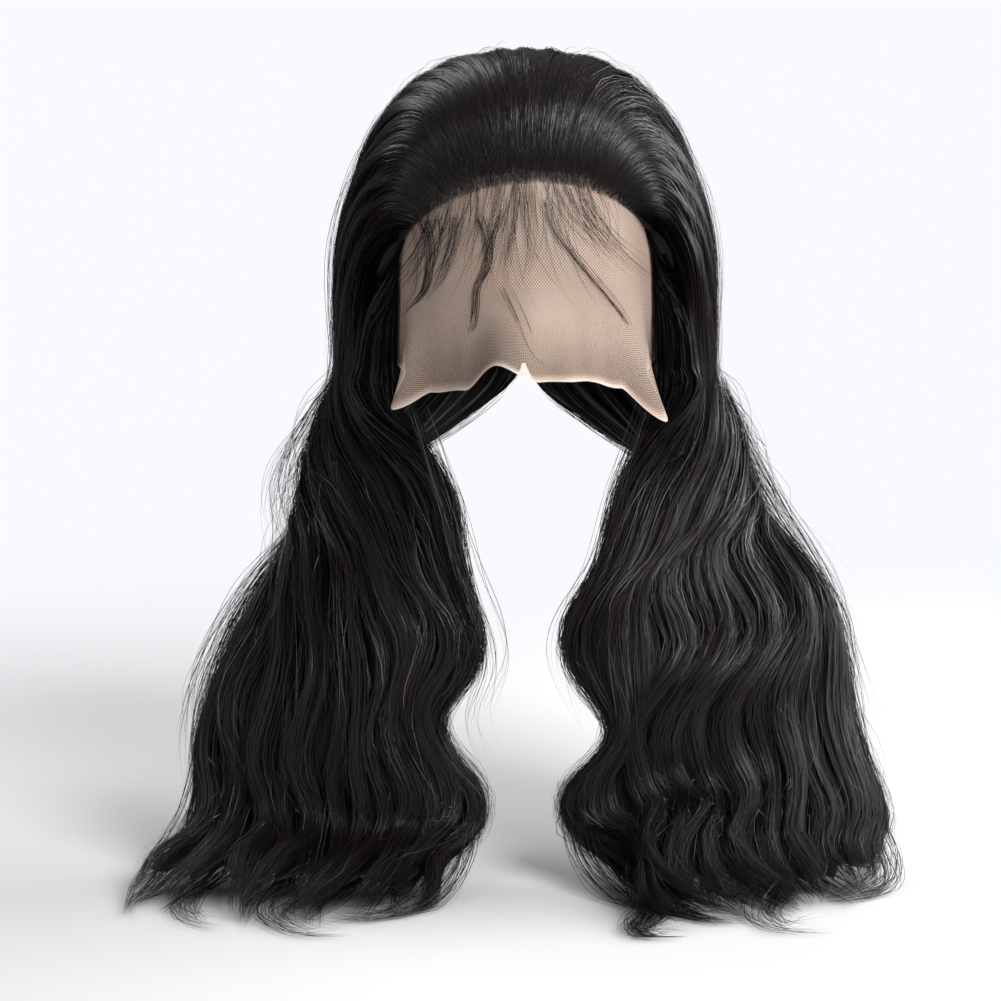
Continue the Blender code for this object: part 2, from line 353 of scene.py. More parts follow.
WAVE_KNOTS = {
    Side.RIGHT: (
        WaveKnot(0.00, 0.002, -0.268),
        WaveKnot(0.18, 0.005, -0.272),
        WaveKnot(0.34, 0.009, -0.279),
        WaveKnot(0.52, 0.012, -0.289),
        WaveKnot(0.72, 0.010, -0.292),
        WaveKnot(0.88, 0.003, -0.325),
        WaveKnot(1.00, 0.003, -0.335),
    ),
    Side.LEFT: (
        WaveKnot(0.00, 0.002, -0.298),
        WaveKnot(0.15, 0.004, -0.310),
        WaveKnot(0.30, 0.005, -0.320),
        WaveKnot(0.50, 0.005, -0.330),
        WaveKnot(0.70, 0.004, -0.322),
        WaveKnot(0.86, 0.003, -0.296),
        WaveKnot(1.00, 0.002, -0.288),
    ),
}


@dataclass
class FlowSheet:
    """One side's hair as a bent sheet, from the hairline to the tips.

    Columns run from the middle of the hairline to the temple, rows from the roots to the tips.
    """

    side: Side
    columns: int = 90
    crown_rows: int = 76
    fall_rows: int = 124
    edge_power: float = 7.0
    edge_least: float = 0.22
    rounded_by: float = 0.2
    place_passes: int = 14
    depth_passes: int = 10
    way_passes: int = 16
    places: Array = field(init=False)
    outward: Array = field(init=False)
    across: Array = field(init=False)
    half_depth: Array = field(init=False)

    def __post_init__(self) -> None:
        """Lays out the grid of places, directions and half depths."""
        column = np.linspace(0.0, 1.0, self.columns)
        crown, crown_depth, crown_out = self._crown(column)
        fall, fall_depth = self._fall(column)
        self.places = softened(np.concatenate([crown, fall[:, 1:]], 1), 1, self.place_passes)
        depth = np.concatenate([crown_depth, fall_depth[:, 1:]], 1)
        self.half_depth = softened(depth, 1, self.depth_passes)
        run = np.gradient(self.places, axis=1)
        side_way = np.gradient(self.places, axis=0)
        fall_out = unit(np.cross(run, side_way))[:, self.crown_rows :]
        turned = (fall_out[:, 2] * crown_out[:, -1]).sum()
        outward = np.concatenate([crown_out, fall_out if turned > 0.0 else -fall_out], 1)
        self.outward = unit(softened(outward, 1, self.way_passes))
        across = unit(np.cross(self.outward, run))
        self.across = across if (across * side_way).sum() > 0.0 else -across

    @property
    def rim_share(self) -> float:
        """Where along the rows the crown ends and the fall begins."""
        return (self.crown_rows - 1) / (self.crown_rows + self.fall_rows - 2)

    def _crown(self, column: Array) -> tuple[Array, Array, Array]:
        """The crown's part of the grid.

        Args:
            column: places across, 0 in the middle and 1 at the temple.

        Returns:
            The places in the middle of the hair's depth, the half depths and the ways out.
        """
        back = np.linspace(0.0, 1.0, self.crown_rows)
        signed, share = np.meshgrid(column * self.side.value, back, indexing="ij")
        way = HEAD.sweep(np.where(signed == 0.0, 1e-6 * self.side.value, signed), share)
        thickness = HEAD.thickness(share, way, np.abs(signed))
        rooted = 1.0 - eased(0.0, HEAD.root_lift_share, share)
        proud = HEAD.hair_clearance + thickness / 2.0
        proud = proud - (HEAD.hair_clearance + HEAD.edge_thickness / 2.0 - HEAD.root_proud) * rooted
        outward = unit(np.stack([way[..., 0], way[..., 1], np.maximum(way[..., 2], 0.0)], -1))
        return HEAD.point(way, proud), thickness / 2.0, outward

    def _fall(self, column: Array) -> tuple[Array, Array]:
        """The fall's part of the grid, worked out as the solids are from the table of rows.

        Args:
            column: places across, 0 in the middle and 1 at the temple.

        Returns:
            The places in the middle of the hair's depth, and the half depths.
        """
        down = np.linspace(0.0, 1.0, self.fall_rows)
        rows = smooth_through(np.array(FALL_ROWS[self.side]), down)
        z, inner_x, inner_y, middle_x, middle_y, outer_x, outer_y, thickness = rows.T
        a = (1.0 - column**HEAD.rim_spread_power)[:, None]
        inner = (1.0 - a) * (1.0 - 2.0 * a)
        middle = 4.0 * a * (1.0 - a)
        outer = a * (2.0 * a - 1.0)
        x = self.side.value * (inner * inner_x + middle * middle_x + outer * outer_x)
        y = inner * inner_y + middle * middle_y + outer * outer_y
        places = np.stack([x, y, np.broadcast_to(z, x.shape)], -1)
        full = 1.0 - np.abs(2.0 * a - 1.0) ** self.edge_power
        profile = np.sqrt(np.maximum(full, self.edge_least**2))
        rounded = 1.0 + (profile - 1.0) * eased(0.0, self.rounded_by, down)[None, :]
        return places, thickness / 2.0 * rounded

    def run(self, row: Array) -> Array:
        """How far along the hair a row is past the rim, measured on the middle column.

        Args:
            row: places along, 0 at the roots and 1 at the tips.

        Returns:
            The lengths in metres, below 0 on the crown.
        """
        line = self.places[self.columns // 2]
        length = np.concatenate([[0.0], np.cumsum(np.linalg.norm(np.diff(line, axis=0), axis=1))])
        return np.interp(row, np.linspace(0.0, 1.0, len(length)), length - length[self.crown_rows - 1])

    def run_at(self, z: Array) -> Array:
        """How far the hair of the middle column has run past the rim when it is down at a height.

        Args:
            z: the heights.

        Returns:
            The lengths in metres.
        """
        line = self.places[self.columns // 2, self.crown_rows - 1 :, 2]
        rows = np.interp(-z, -line, np.linspace(self.rim_share, 1.0, len(line)))
        return self.run(rows)

    def sample(self, values: Array, column: Array, row: Array) -> Array:
        """Values of the grid between its points.

        Args:
            values: one of the grid's arrays.
            column: places across, 0 in the middle and 1 at the temple.
            row: places along, 0 at the roots and 1 at the tips.

        Returns:
            The values there, bilinear.
        """
        i = np.clip(column, 0.0, 1.0) * (values.shape[0] - 1)
        j = np.clip(row, 0.0, 1.0) * (values.shape[1] - 1)
        i0 = np.minimum(i.astype(int), values.shape[0] - 2)
        j0 = np.minimum(j.astype(int), values.shape[1] - 2)
        s, t = i - i0, j - j0
        if values.ndim == 3:
            s, t = s[..., None], t[..., None]
        low = values[i0, j0] * (1.0 - s) + values[i0 + 1, j0] * s
        high = values[i0, j0 + 1] * (1.0 - s) + values[i0 + 1, j0 + 1] * s
        return low * (1.0 - t) + high * t


class Shade:
    """A value socket whose sums and products add Math nodes."""

    def __init__(self, painter: "Painter", socket: bpy.types.NodeSocket) -> None:
        """Wraps the socket of a node in the painter's material."""
        self.painter = painter
        self.socket = socket

    def _math(self, operation: str, first: "Term", second: "Term" = None) -> "Shade":
        """A Math node on one or two terms."""
        inputs = {0: first} if second is None else {0: first, 1: second}
        return self.painter.node("ShaderNodeMath", {"operation": operation}, inputs).value()

    def __add__(self, other: "Term") -> "Shade":
        """self + other."""
        return self._math("ADD", self, other)

    __radd__ = __add__

    def __sub__(self, other: "Term") -> "Shade":
        """self - other."""
        return self._math("SUBTRACT", self, other)

    def __rsub__(self, other: "Term") -> "Shade":
        """other - self."""
        return self._math("SUBTRACT", other, self)

    def __mul__(self, other: "Term") -> "Shade":
        """self * other."""
        return self._math("MULTIPLY", self, other)

    __rmul__ = __mul__

    def fraction(self) -> "Shade":
        """What is left of it past a whole number."""
        return self._math("FRACT", self)

    def larger(self, other: "Term") -> "Shade":
        """The larger of the two."""
        return self._math("MAXIMUM", self, other)

    def sine(self) -> "Shade":
        """Its sine."""
        return self._math("SINE", self)

    def size(self) -> "Shade":
        """Its value without a sign."""
        return self._math("ABSOLUTE", self)

    def stepped(self, low: float, high: float) -> "Shade":
        """A smooth step.

        Args:
            low: where it leaves 0.
            high: where it reaches 1.

        Returns:
            The step's height.
        """
        settings = {"interpolation_type": "SMOOTHSTEP", "clamp": True}
        inputs = {"Value": self, "From Min": low, "From Max": high}
        return self.painter.node("ShaderNodeMapRange", settings, inputs).value("Result")


Term = Union[Shade, Number, bpy.types.NodeSocket, Sequence[float], None]


class Made:
    """A node just added, for reading its outputs."""

    def __init__(self, painter: "Painter", node: bpy.types.Node) -> None:
        """Keeps the node and the material that it is in."""
        self.painter = painter
        self.node = node

    def out(self, name: Union[str, int] = 0) -> bpy.types.NodeSocket:
        """An output socket as it is, for colours, vectors and shaders."""
        return self.node.outputs[name]

    def value(self, name: Union[str, int] = 0) -> Shade:
        """An output socket wrapped for maths."""
        return Shade(self.painter, self.node.outputs[name])


class Painter:
    """Makes one material and adds its nodes."""

    def __init__(self, name: str) -> None:
        """Starts an empty node material.

        Args:
            name: the material's name.
        """
        self.material = bpy.data.materials.new(name)
        self.material.use_nodes = True
        self.tree = self.material.node_tree
        self.tree.nodes.clear()

    def node(self, kind: str, settings: Optional[dict] = None, inputs: Optional[dict] = None) -> Made:
        """Adds a node.

        Args:
            kind: the node's type.
            settings: its properties, set first.
            inputs: what its sockets hold or are linked to.

        Returns:
            The node, wrapped.
        """
        node = self.tree.nodes.new(kind)
        for key, setting in (settings or {}).items():
            setattr(node, key, setting)
        for key, term in (inputs or {}).items():
            self._feed(node.inputs[key], term)
        return Made(self, node)

    def _feed(self, socket: bpy.types.NodeSocket, term: Term) -> None:
        """Links or sets one input socket.

        Args:
            socket: the input.
            term: what it is linked to, or what it holds.
        """
        if isinstance(term, Shade):
            self.tree.links.new(term.socket, socket)
        elif isinstance(term, bpy.types.NodeSocket):
            self.tree.links.new(term, socket)
        else:
            socket.default_value = term

    def mixed(self, factor: Term, first: Term, second: Term) -> bpy.types.NodeSocket:
        """A colour between two, by a Mix node, whose colours are its inputs 6 and 7 and its output 2."""
        inputs = {0: factor, 6: self._colour(first), 7: self._colour(second)}
        return self.node("ShaderNodeMix", {"data_type": "RGBA"}, inputs).out(2)

    @staticmethod
    def _colour(term: Term) -> Term:
        """A colour with its alpha, or the link as it is."""
        return (*term, 1.0) if isinstance(term, tuple) and len(term) == 3 else term

    def stretched(self, vector: bpy.types.NodeSocket, scale: Sequence[float]) -> bpy.types.NodeSocket:
        """A vector times a scale for each axis."""
        return self.node("ShaderNodeVectorMath", {"operation": "MULTIPLY"}, {0: vector, 1: scale}).out()

    def map_place(self) -> bpy.types.NodeSocket:
        """The place on the piece's own map."""
        return self.node("ShaderNodeUVMap", {"uv_map": BAKE_MAP}).out()

    def noise(self, vector: bpy.types.NodeSocket, scale: float, detail: float = 2.0) -> Shade:
        """Noise at a place, from 0 to 1."""
        inputs = {"Vector": vector, "Scale": scale, "Detail": detail}
        return self.node("ShaderNodeTexNoise", {}, inputs).value()

    def finish(self, inputs: dict) -> bpy.types.Material:
        """Adds the Principled shader and the output.

        Args:
            inputs: what the shader's sockets hold or are linked to.

        Returns:
            The finished material.
        """
        shader = self.node("ShaderNodeBsdfPrincipled", {}, inputs)
        self.node("ShaderNodeOutputMaterial", {}, {"Surface": shader.out()})
        return self.material


@dataclass(frozen=True)
class StrandFinish:
    """Black hair in thin flat locks: each has its own strip of the map, ribbed by its hairs."""

    name: str = "strand_finish"
    dark: Colour = (0.0036, 0.0030, 0.0031)
    brown: Colour = (0.0210, 0.0110, 0.0088)
    pale: Colour = (0.0300, 0.0250, 0.0270)
    root: Colour = (0.0330, 0.0180, 0.0130)
    hairs: float = 9.0
    streaks: float = 1.7
    root_length: float = 0.010
    root_share: float = 0.6
    pale_share: float = 0.6
    tip_from: float = 0.72
    lock_rise: float = 0.08
    hair_rise: float = 0.11
    roughness: float = 0.27
    roughness_range: float = 0.34
    shine: float = 0.29

    def material(self) -> bpy.types.Material:
        """Makes the material.

        Returns:
            The material.
        """
        paint = Painter(self.name)
        place = paint.map_place()
        split = paint.node("ShaderNodeSeparateXYZ", {}, {"Vector": place})
        offset = (split.value("X") * STRIPS).fraction() * 2.0 - 1.0
        hair = paint.noise(paint.stretched(place, (STRIPS * self.hairs, 3.0, 1.0)), 1.0, 2.0)
        lock = paint.noise(paint.stretched(place, (STRIPS * TONE_PATCHES, 1.4, 1.0)), 1.0, 1.0)
        fine = paint.stretched(place, (STRIPS * self.hairs * self.streaks, 5.0, 1.0))
        streak = paint.noise(fine, 1.0, 1.0)
        height = (1.0 - offset * offset) * self.lock_rise + hair * self.hair_rise
        bump = paint.node("ShaderNodeBump", {}, {"Strength": 1.0, "Distance": 0.001, "Height": height})
        tip = split.value("Y").stepped(self.tip_from, 1.0)
        tint = lock.stepped(0.45, 0.75) * 0.8 + tip * 0.3
        base = paint.mixed(tint * hair.stepped(0.3, 0.7), self.dark, self.brown)
        rooted = (1.0 - split.value("Y").stepped(0.0, self.root_length)) * self.root_share
        base = paint.mixed(rooted, base, self.root)
        return paint.finish({
            "Base Color": paint.mixed(streak.stepped(0.58, 0.78) * self.pale_share, base, self.pale),
            "Roughness": (hair * 0.5 + lock * 0.5) * self.roughness_range + self.roughness,
            "Specular IOR Level": self.shine,
            "Normal": bump.out(),
        })


@dataclass(frozen=True)
class WispFinish:
    """Single fine hairs, some of which the light browns."""

    name: str = "wisp_finish"
    dark: Colour = (0.0050, 0.0040, 0.0039)
    brown: Colour = (0.0300, 0.0175, 0.0130)
    roughness: float = 0.36
    shine: float = 0.42

    def material(self) -> bpy.types.Material:
        """Makes the material.

        Returns:
            The material.
        """
        paint = Painter(self.name)
        place = paint.map_place()
        strand = paint.noise(paint.stretched(place, (STRIPS * TONE_PATCHES, 3.0, 1.0)), 1.0, 1.0)
        return paint.finish({
            "Base Color": paint.mixed(strand.stepped(0.40, 0.75), self.dark, self.brown),
            "Roughness": self.roughness,
            "Specular IOR Level": self.shine,
        })


@dataclass(frozen=True)
class CoreFinish:
    """The hair's dark body under the strands, combed along its flow."""

    name: str = "core_finish"
    deep: Colour = (0.0030, 0.0024, 0.0023)
    raised: Colour = (0.012, 0.0085, 0.0075)
    streaks: float = 260.0
    broad_share: float = 7.0
    groove: float = 0.0005
    roughness: float = 0.45
    shine: float = 0.22

    def material(self) -> bpy.types.Material:
        """Makes the material.

        Returns:
            The material.
        """
        paint = Painter(self.name)
        place = paint.map_place()
        fine = paint.noise(paint.stretched(place, (self.streaks, 7.0, 1.0)), 1.0, 3.0)
        broad = paint.noise(paint.stretched(place, (self.streaks / self.broad_share, 3.0, 1.0)), 1.0, 2.0)
        height = fine * 0.6 + broad * 0.4
        bump = paint.node("ShaderNodeBump", {}, {"Strength": 0.8, "Distance": self.groove, "Height": height})
        return paint.finish({
            "Base Color": paint.mixed(height.stepped(0.35, 0.70), self.deep, self.raised),
            "Roughness": fine * 0.25 + self.roughness,
            "Specular IOR Level": self.shine,
            "Normal": bump.out(),
        })


@dataclass(frozen=True)
class HairFinishes:
    """The materials that every piece of hair shares."""

    core: bpy.types.Material
    strand: bpy.types.Material
    wisp: bpy.types.Material


@dataclass(frozen=True)
class LaceFinish:
    """Sheer beige net: two sets of slanting threads with open cells between them."""

    width: float
    length: float
    name: str = "lace_finish"
    pitch: float = 0.0017
    thread: Colour = (0.92, 0.68, 0.54)
    pale: Colour = (0.95, 0.75, 0.62)
    open_cover: float = 0.33
    thread_cover: float = 0.40
    edge_from: float = 0.955
    edge_cover: float = 0.45
    sheer_from: float = 0.66
    sheer_to: float = 0.98
    sheer_share: float = 0.22

    def material(self) -> bpy.types.Material:
        """Makes the material.

        Returns:
            The material.
        """
        paint = Painter(self.name)
        place = paint.map_place()
        split = paint.node("ShaderNodeSeparateXYZ", {}, {"Vector": place})
        turn = math.pi / self.pitch
        wide = split.value("X") * (self.width * turn)
        long = split.value("Y") * (self.length * turn)
        one = (wide + long).sine().size()
        other = (wide - long).sine().size()
        threads = one.larger(other).stepped(0.74, 0.96)
        cloud = paint.noise(paint.stretched(place, (6.0, 7.0, 1.0)), 1.0, 3.0)
        edge = split.value("Y").stepped(self.edge_from, 1.0)
        low = split.value("Y").stepped(self.sheer_from, self.sheer_to) * self.sheer_share
        cover = threads * self.thread_cover + self.open_cover + edge * self.edge_cover - low
        bump = paint.node("ShaderNodeBump", {}, {"Strength": 0.4, "Distance": 0.0003, "Height": threads})
        return paint.finish({
            "Base Color": paint.mixed(cloud.stepped(0.3, 0.8), self.thread, self.pale),
            "Roughness": cloud * 0.2 + 0.62,
            "Specular IOR Level": 0.25,
            "Alpha": cover,
            "Normal": bump.out(),
        })


@dataclass(frozen=True)
class LaceTapeFinish:
    """The lace's cut edge, where its threads bunch and look whitish."""

    name: str = "lace_tape_finish"
    pale: Colour = (0.92, 0.88, 0.84)
    warm: Colour = (0.82, 0.70, 0.62)

    def material(self) -> bpy.types.Material:
        """Makes the material.

        Returns:
            The material.
        """
        paint = Painter(self.name)
        place = paint.map_place()
        worn = paint.noise(paint.stretched(place, (90.0, 4.0, 1.0)), 1.0, 3.0)
        return paint.finish({
            "Base Color": paint.mixed(worn.stepped(0.35, 0.7), self.pale, self.warm),
            "Roughness": 0.7,
            "Alpha": worn.stepped(0.2, 0.55) * 0.45 + 0.35,
        })


@dataclass(frozen=True)
class NetFinish:
    """The cap's black stretch net, with a fine mesh and the sewn tracks that carry the hair."""

    name: str = "net_finish"
    cell: float = 0.0022
    track: float = 0.011
    dark: Colour = (0.006, 0.005, 0.005)
    thread: Colour = (0.034, 0.029, 0.027)

    def material(self) -> bpy.types.Material:
        """Makes the material.

        Returns:
            The material.
        """
        paint = Painter(self.name)
        place = paint.node("ShaderNodeTexCoord").out("Object")
        inputs = {"Vector": place, "Scale": 1.0 / self.cell}
        cells = paint.node("ShaderNodeTexVoronoi", {"feature": "DISTANCE_TO_EDGE"}, inputs).value("Distance")
        threads = 1.0 - cells.stepped(0.04, 0.16)
        split = paint.node("ShaderNodeSeparateXYZ", {}, {"Vector": place})
        seam = (split.value("Z") * (math.pi / self.track)).sine().size().stepped(0.90, 0.99)
        height = threads.larger(seam)
        bump = paint.node("ShaderNodeBump", {}, {"Strength": 0.7, "Distance": 0.0004, "Height": height})
        return paint.finish({
            "Base Color": paint.mixed(height, self.dark, self.thread),
            "Roughness": 0.95 - height * 0.25,
            "Specular IOR Level": 0.25,
            "Normal": bump.out(),
        })


@dataclass(frozen=True)
class StudioFinish:
    """The pale floor, which fades into the white ground at its far edge."""

    name: str = "studio_floor"
    colour: Colour = (0.88, 0.88, 0.90)
    solid_to: float = 0.34
    gone_at: float = 0.95

    def material(self) -> bpy.types.Material:
        """Makes the material.

        Returns:
            The material.
        """
        paint = Painter(self.name)
        place = paint.node("ShaderNodeTexCoord").out("Object")
        cloud = paint.noise(place, 2.0)
        far = paint.node("ShaderNodeVectorMath", {"operation": "LENGTH"}, {0: place}).value("Value")
        near = paint.node("ShaderNodeBsdfPrincipled", {}, {
            "Base Color": (*self.colour, 1.0),
            "Roughness": cloud * 0.1 + 0.75,
        })
        clear = paint.node("ShaderNodeBsdfTransparent")
        fade = far.stepped(self.solid_to, self.gone_at)
        both = paint.node("ShaderNodeMixShader", {}, {0: fade, 1: near.out(), 2: clear.out()})
        paint.node("ShaderNodeOutputMaterial", {}, {"Surface": both.out()})
        return paint.material


@dataclass
class Strands:
    """Many ribbons at once: their lines, the way each one faces, their half widths and tones."""

    lines: Array
    facing: Array
    half_width: Array
    tone: Array


def wander(rng: np.random.Generator, count: int, points: int, waves: tuple[float, float]) -> Array:
    """Slow random sways, one row for each strand.

    Args:
        rng: the seeded source of chance.
        count: how many strands.
        points: points on each.
        waves: the fewest and most waves along a strand.

    Returns:
        An array of sways between about -1 and 1.
    """
    t = np.linspace(0.0, 1.0, points)[None, :]
    total = np.zeros((count, points))
    for weight in (0.6, 0.4):
        frequency = rng.uniform(*waves, (count, 1))
        phase = rng.uniform(0.0, 1.0, (count, 1))
        total += weight * np.sin(2.0 * math.pi * (frequency * t + phase))
    return total


def reined(lines: Array) -> Array:
    """Lines with their furthest reaches drawn in, so that no stray hair goes far past the locks.

    Args:
        lines: the strands' points.

    Returns:
        The points, changed only past the side and front reaches.
    """
    past_side = np.maximum(np.abs(lines[..., 0]) - SIDE_REACH, 0.0)
    past_front = np.maximum(-lines[..., 1] - FRONT_REACH, 0.0)
    lines[..., 0] -= np.sign(lines[..., 0]) * (past_side - REIN * np.tanh(past_side / REIN))
    lines[..., 1] += past_front - REIN * np.tanh(past_front / REIN)
    return lines


def faced(rng: np.random.Generator, lines: Array, hint: Array, tilt: float) -> Array:
    """The way that each ribbon's width points, rolled at random about its run.

    Args:
        rng: the seeded source of chance.
        lines: the strands' points.
        hint: about the way that a flat ribbon's width would point.
        tilt: the largest roll, in degrees.

    Returns:
        Unit vectors square to the strands.
    """
    run = unit(np.gradient(lines, axis=1))
    flat = unit(hint - run * (hint * run).sum(-1, keepdims=True))
    up = np.cross(run, flat)
    roll = np.radians(rng.uniform(-tilt, tilt, (len(lines), 1, 1)))
    return flat * np.cos(roll) + up * np.sin(roll)


def tapered(points: int, root: float, tip: float) -> Array:
    """A ribbon's width along its length.

    Args:
        points: points on the ribbon.
        root: the share of its length that thins at the root, or 0 for a blunt one.
        tip: the share that thins at the tip.

    Returns:
        Shares of the full width.
    """
    t = np.linspace(0.0, 1.0, points)
    start = eased(-PAST_ROOT, root, t) if root > 0.0 else np.ones(points)
    return start * (1.0 - eased(1.0 - tip, 1.0 + PAST_TIP, t))


def mesh_piece(
    name: str, points: Array, faces: Array, places: Array, material: bpy.types.Material
) -> bpy.types.Object:
    """A new object from arrays, with its own map.

    Args:
        name: the piece's name.
        points: its vertices.
        faces: its quads, as rows of four vertices.
        places: each vertex's place on the map.
        material: its finish.

    Returns:
        The object, linked and shaded smooth.
    """
    mesh = bpy.data.meshes.new(name)
    mesh.vertices.add(len(points))
    mesh.vertices.foreach_set("co", points.astype(np.float32).ravel())
    mesh.loops.add(faces.size)
    mesh.loops.foreach_set("vertex_index", faces.astype(np.int32).ravel())
    mesh.polygons.add(len(faces))
    mesh.polygons.foreach_set("loop_start", np.arange(0, faces.size, 4, dtype=np.int32))
    mesh.update(calc_edges=True)
    mesh.validate()
    layer = mesh.uv_layers.new(name=BAKE_MAP)
    layer.data.foreach_set("uv", places[faces.ravel()].astype(np.float32).ravel())
    mesh.materials.append(material)
    mesh.shade_smooth()
    obj = bpy.data.objects.new(name, mesh)
    bpy.context.scene.collection.objects.link(obj)
    return obj


def ribbon_piece(name: str, coats: Sequence[Strands], material: bpy.types.Material) -> bpy.types.Object:
    """One object that holds every ribbon of several coats.

    Args:
        name: the piece's name.
        coats: the strands.
        material: their finish.

    Returns:
        The object.
    """
    points, faces, places = [], [], []
    start = 0
    for coat in coats:
        count, steps = coat.lines.shape[:2]
        offset = coat.facing * coat.half_width[..., None]
        points.append(np.stack([coat.lines - offset, coat.lines + offset], 2).reshape(-1, 3))
        index = start + np.arange(count * steps * 2).reshape(count, steps, 2)
        quads = [index[:, :-1, 0], index[:, :-1, 1], index[:, 1:, 1], index[:, 1:, 0]]
        faces.append(np.stack(quads, -1).reshape(-1, 4))
        strip = np.floor(coat.tone * STRIPS)[:, None, None]
        u = (strip + np.array(STRIP_EDGES)[None, None, :]) / STRIPS
        v = np.linspace(*STRIP_ENDS, steps)[None, :, None]
        places.append(np.stack(np.broadcast_arrays(u, v), -1).reshape(-1, 2))
        start += count * steps * 2
    return mesh_piece(name, np.concatenate(points), np.concatenate(faces), np.concatenate(places), material)


def shell_piece(name: str, outer: Array, inner: Array, material: bpy.types.Material) -> bpy.types.Object:
    """A closed body between two grids of points.

    Args:
        name: the piece's name.
        outer: the outer grid, columns by rows.
        inner: the inner grid, of the same shape.
        material: its finish.

    Returns:
        The object.
    """
    columns, rows = outer.shape[:2]
    index = np.arange(columns * rows).reshape(columns, rows)
    skin = np.stack([index[:-1, :-1], index[1:, :-1], index[1:, 1:], index[:-1, 1:]], -1).reshape(-1, 4)
    ring = np.concatenate([index[:, 0], index[-1, 1:], index[-2::-1, -1], index[0, -2:0:-1]])
    after = np.roll(ring, -1)
    under = columns * rows
    wall = np.stack([ring, ring + under, after + under, after], -1)
    faces = np.concatenate([skin, skin[:, ::-1] + under, wall])
    points = np.concatenate([outer.reshape(-1, 3), inner.reshape(-1, 3)])
    u, v = np.meshgrid(np.linspace(0.0, 1.0, columns), np.linspace(0.0, 1.0, rows), indexing="ij")
    places = np.tile(np.stack([u, v], -1).reshape(-1, 2), (2, 1))
    obj = mesh_piece(name, points, faces, places, material)
    if signed_volume(points, faces) < 0.0:
        obj.data.flip_normals()
    return obj


def signed_volume(points: Array, faces: Array) -> float:
    """The volume inside the quads, below 0 if they face inwards."""
    a, b, c, d = (points[faces[:, k]] for k in range(4))
    return float((np.cross(a, b) * c).sum() + (np.cross(a, c) * d).sum()) / 6.0


def settle(piece: bpy.types.Object, slot: Slot, *nodes: str) -> bpy.types.Object:
    """Makes a piece ride on the part and reports it.

    Args:
        piece: the finished piece.
        slot: a material slot; not used.
        nodes: the nodes that it stands for, if any.

    Returns:
        The piece.
    """
    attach(piece, BODY)
    if nodes:
        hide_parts(*nodes)
    LOG.info("%s: %d faces", piece.name, len(piece.data.polygons))
    return piece


@dataclass(frozen=True)
class StrandPlan:
    """How one coat of strands lies on a side's sheet. Pairs are the least and most of a random choice.

    Attributes:
        count: how many strands.
        points: points on each.
        start: the rows where they start.
        end: the rows where they end, or how many rows they span if short.
        depth: their places in the hair's depth, -1 inside and 1 outside.
        column: the columns that they start from.
        rooted: whether those are columns at the hairline, before the hair leans towards the front.
        short: whether end is a span.
        width: a ribbon's width in metres.
        tilt: the largest roll of a ribbon, in degrees.
        stray: how far a strand wanders, in metres.
        slant: how far its column drifts.
        root_depth: the depth that all roots share, if they do.
        root_span: the share of the length over which they leave it.
        spread: how far a coat with such a depth fans towards the middle.
        nudge: how far it stands off across the sheet, in metres.
        root_taper: the share of the length that thins at the root.
        tip_taper: the share that thins at the tip.
        sink_start: how deep the root dips into the hair.
        sink_end: how deep the tip dips.
    """

    count: int
    points: int
    start: tuple[float, float]
    end: tuple[float, float]
    depth: tuple[float, float]
    column: tuple[float, float] = (0.0, 1.0)
    rooted: bool = False
    short: bool = False
    width: float = 0.0020
    tilt: float = 24.0
    stray: float = 0.0008
    slant: float = 0.0
    root_depth: Optional[float] = None
    root_span: float = 0.45
    spread: float = 0.0
    nudge: tuple[float, float] = (0.0, 0.0)
    root_taper: float = 0.0
    tip_taper: float = 0.25
    sink_start: float = 0.0
    sink_end: float = 0.0


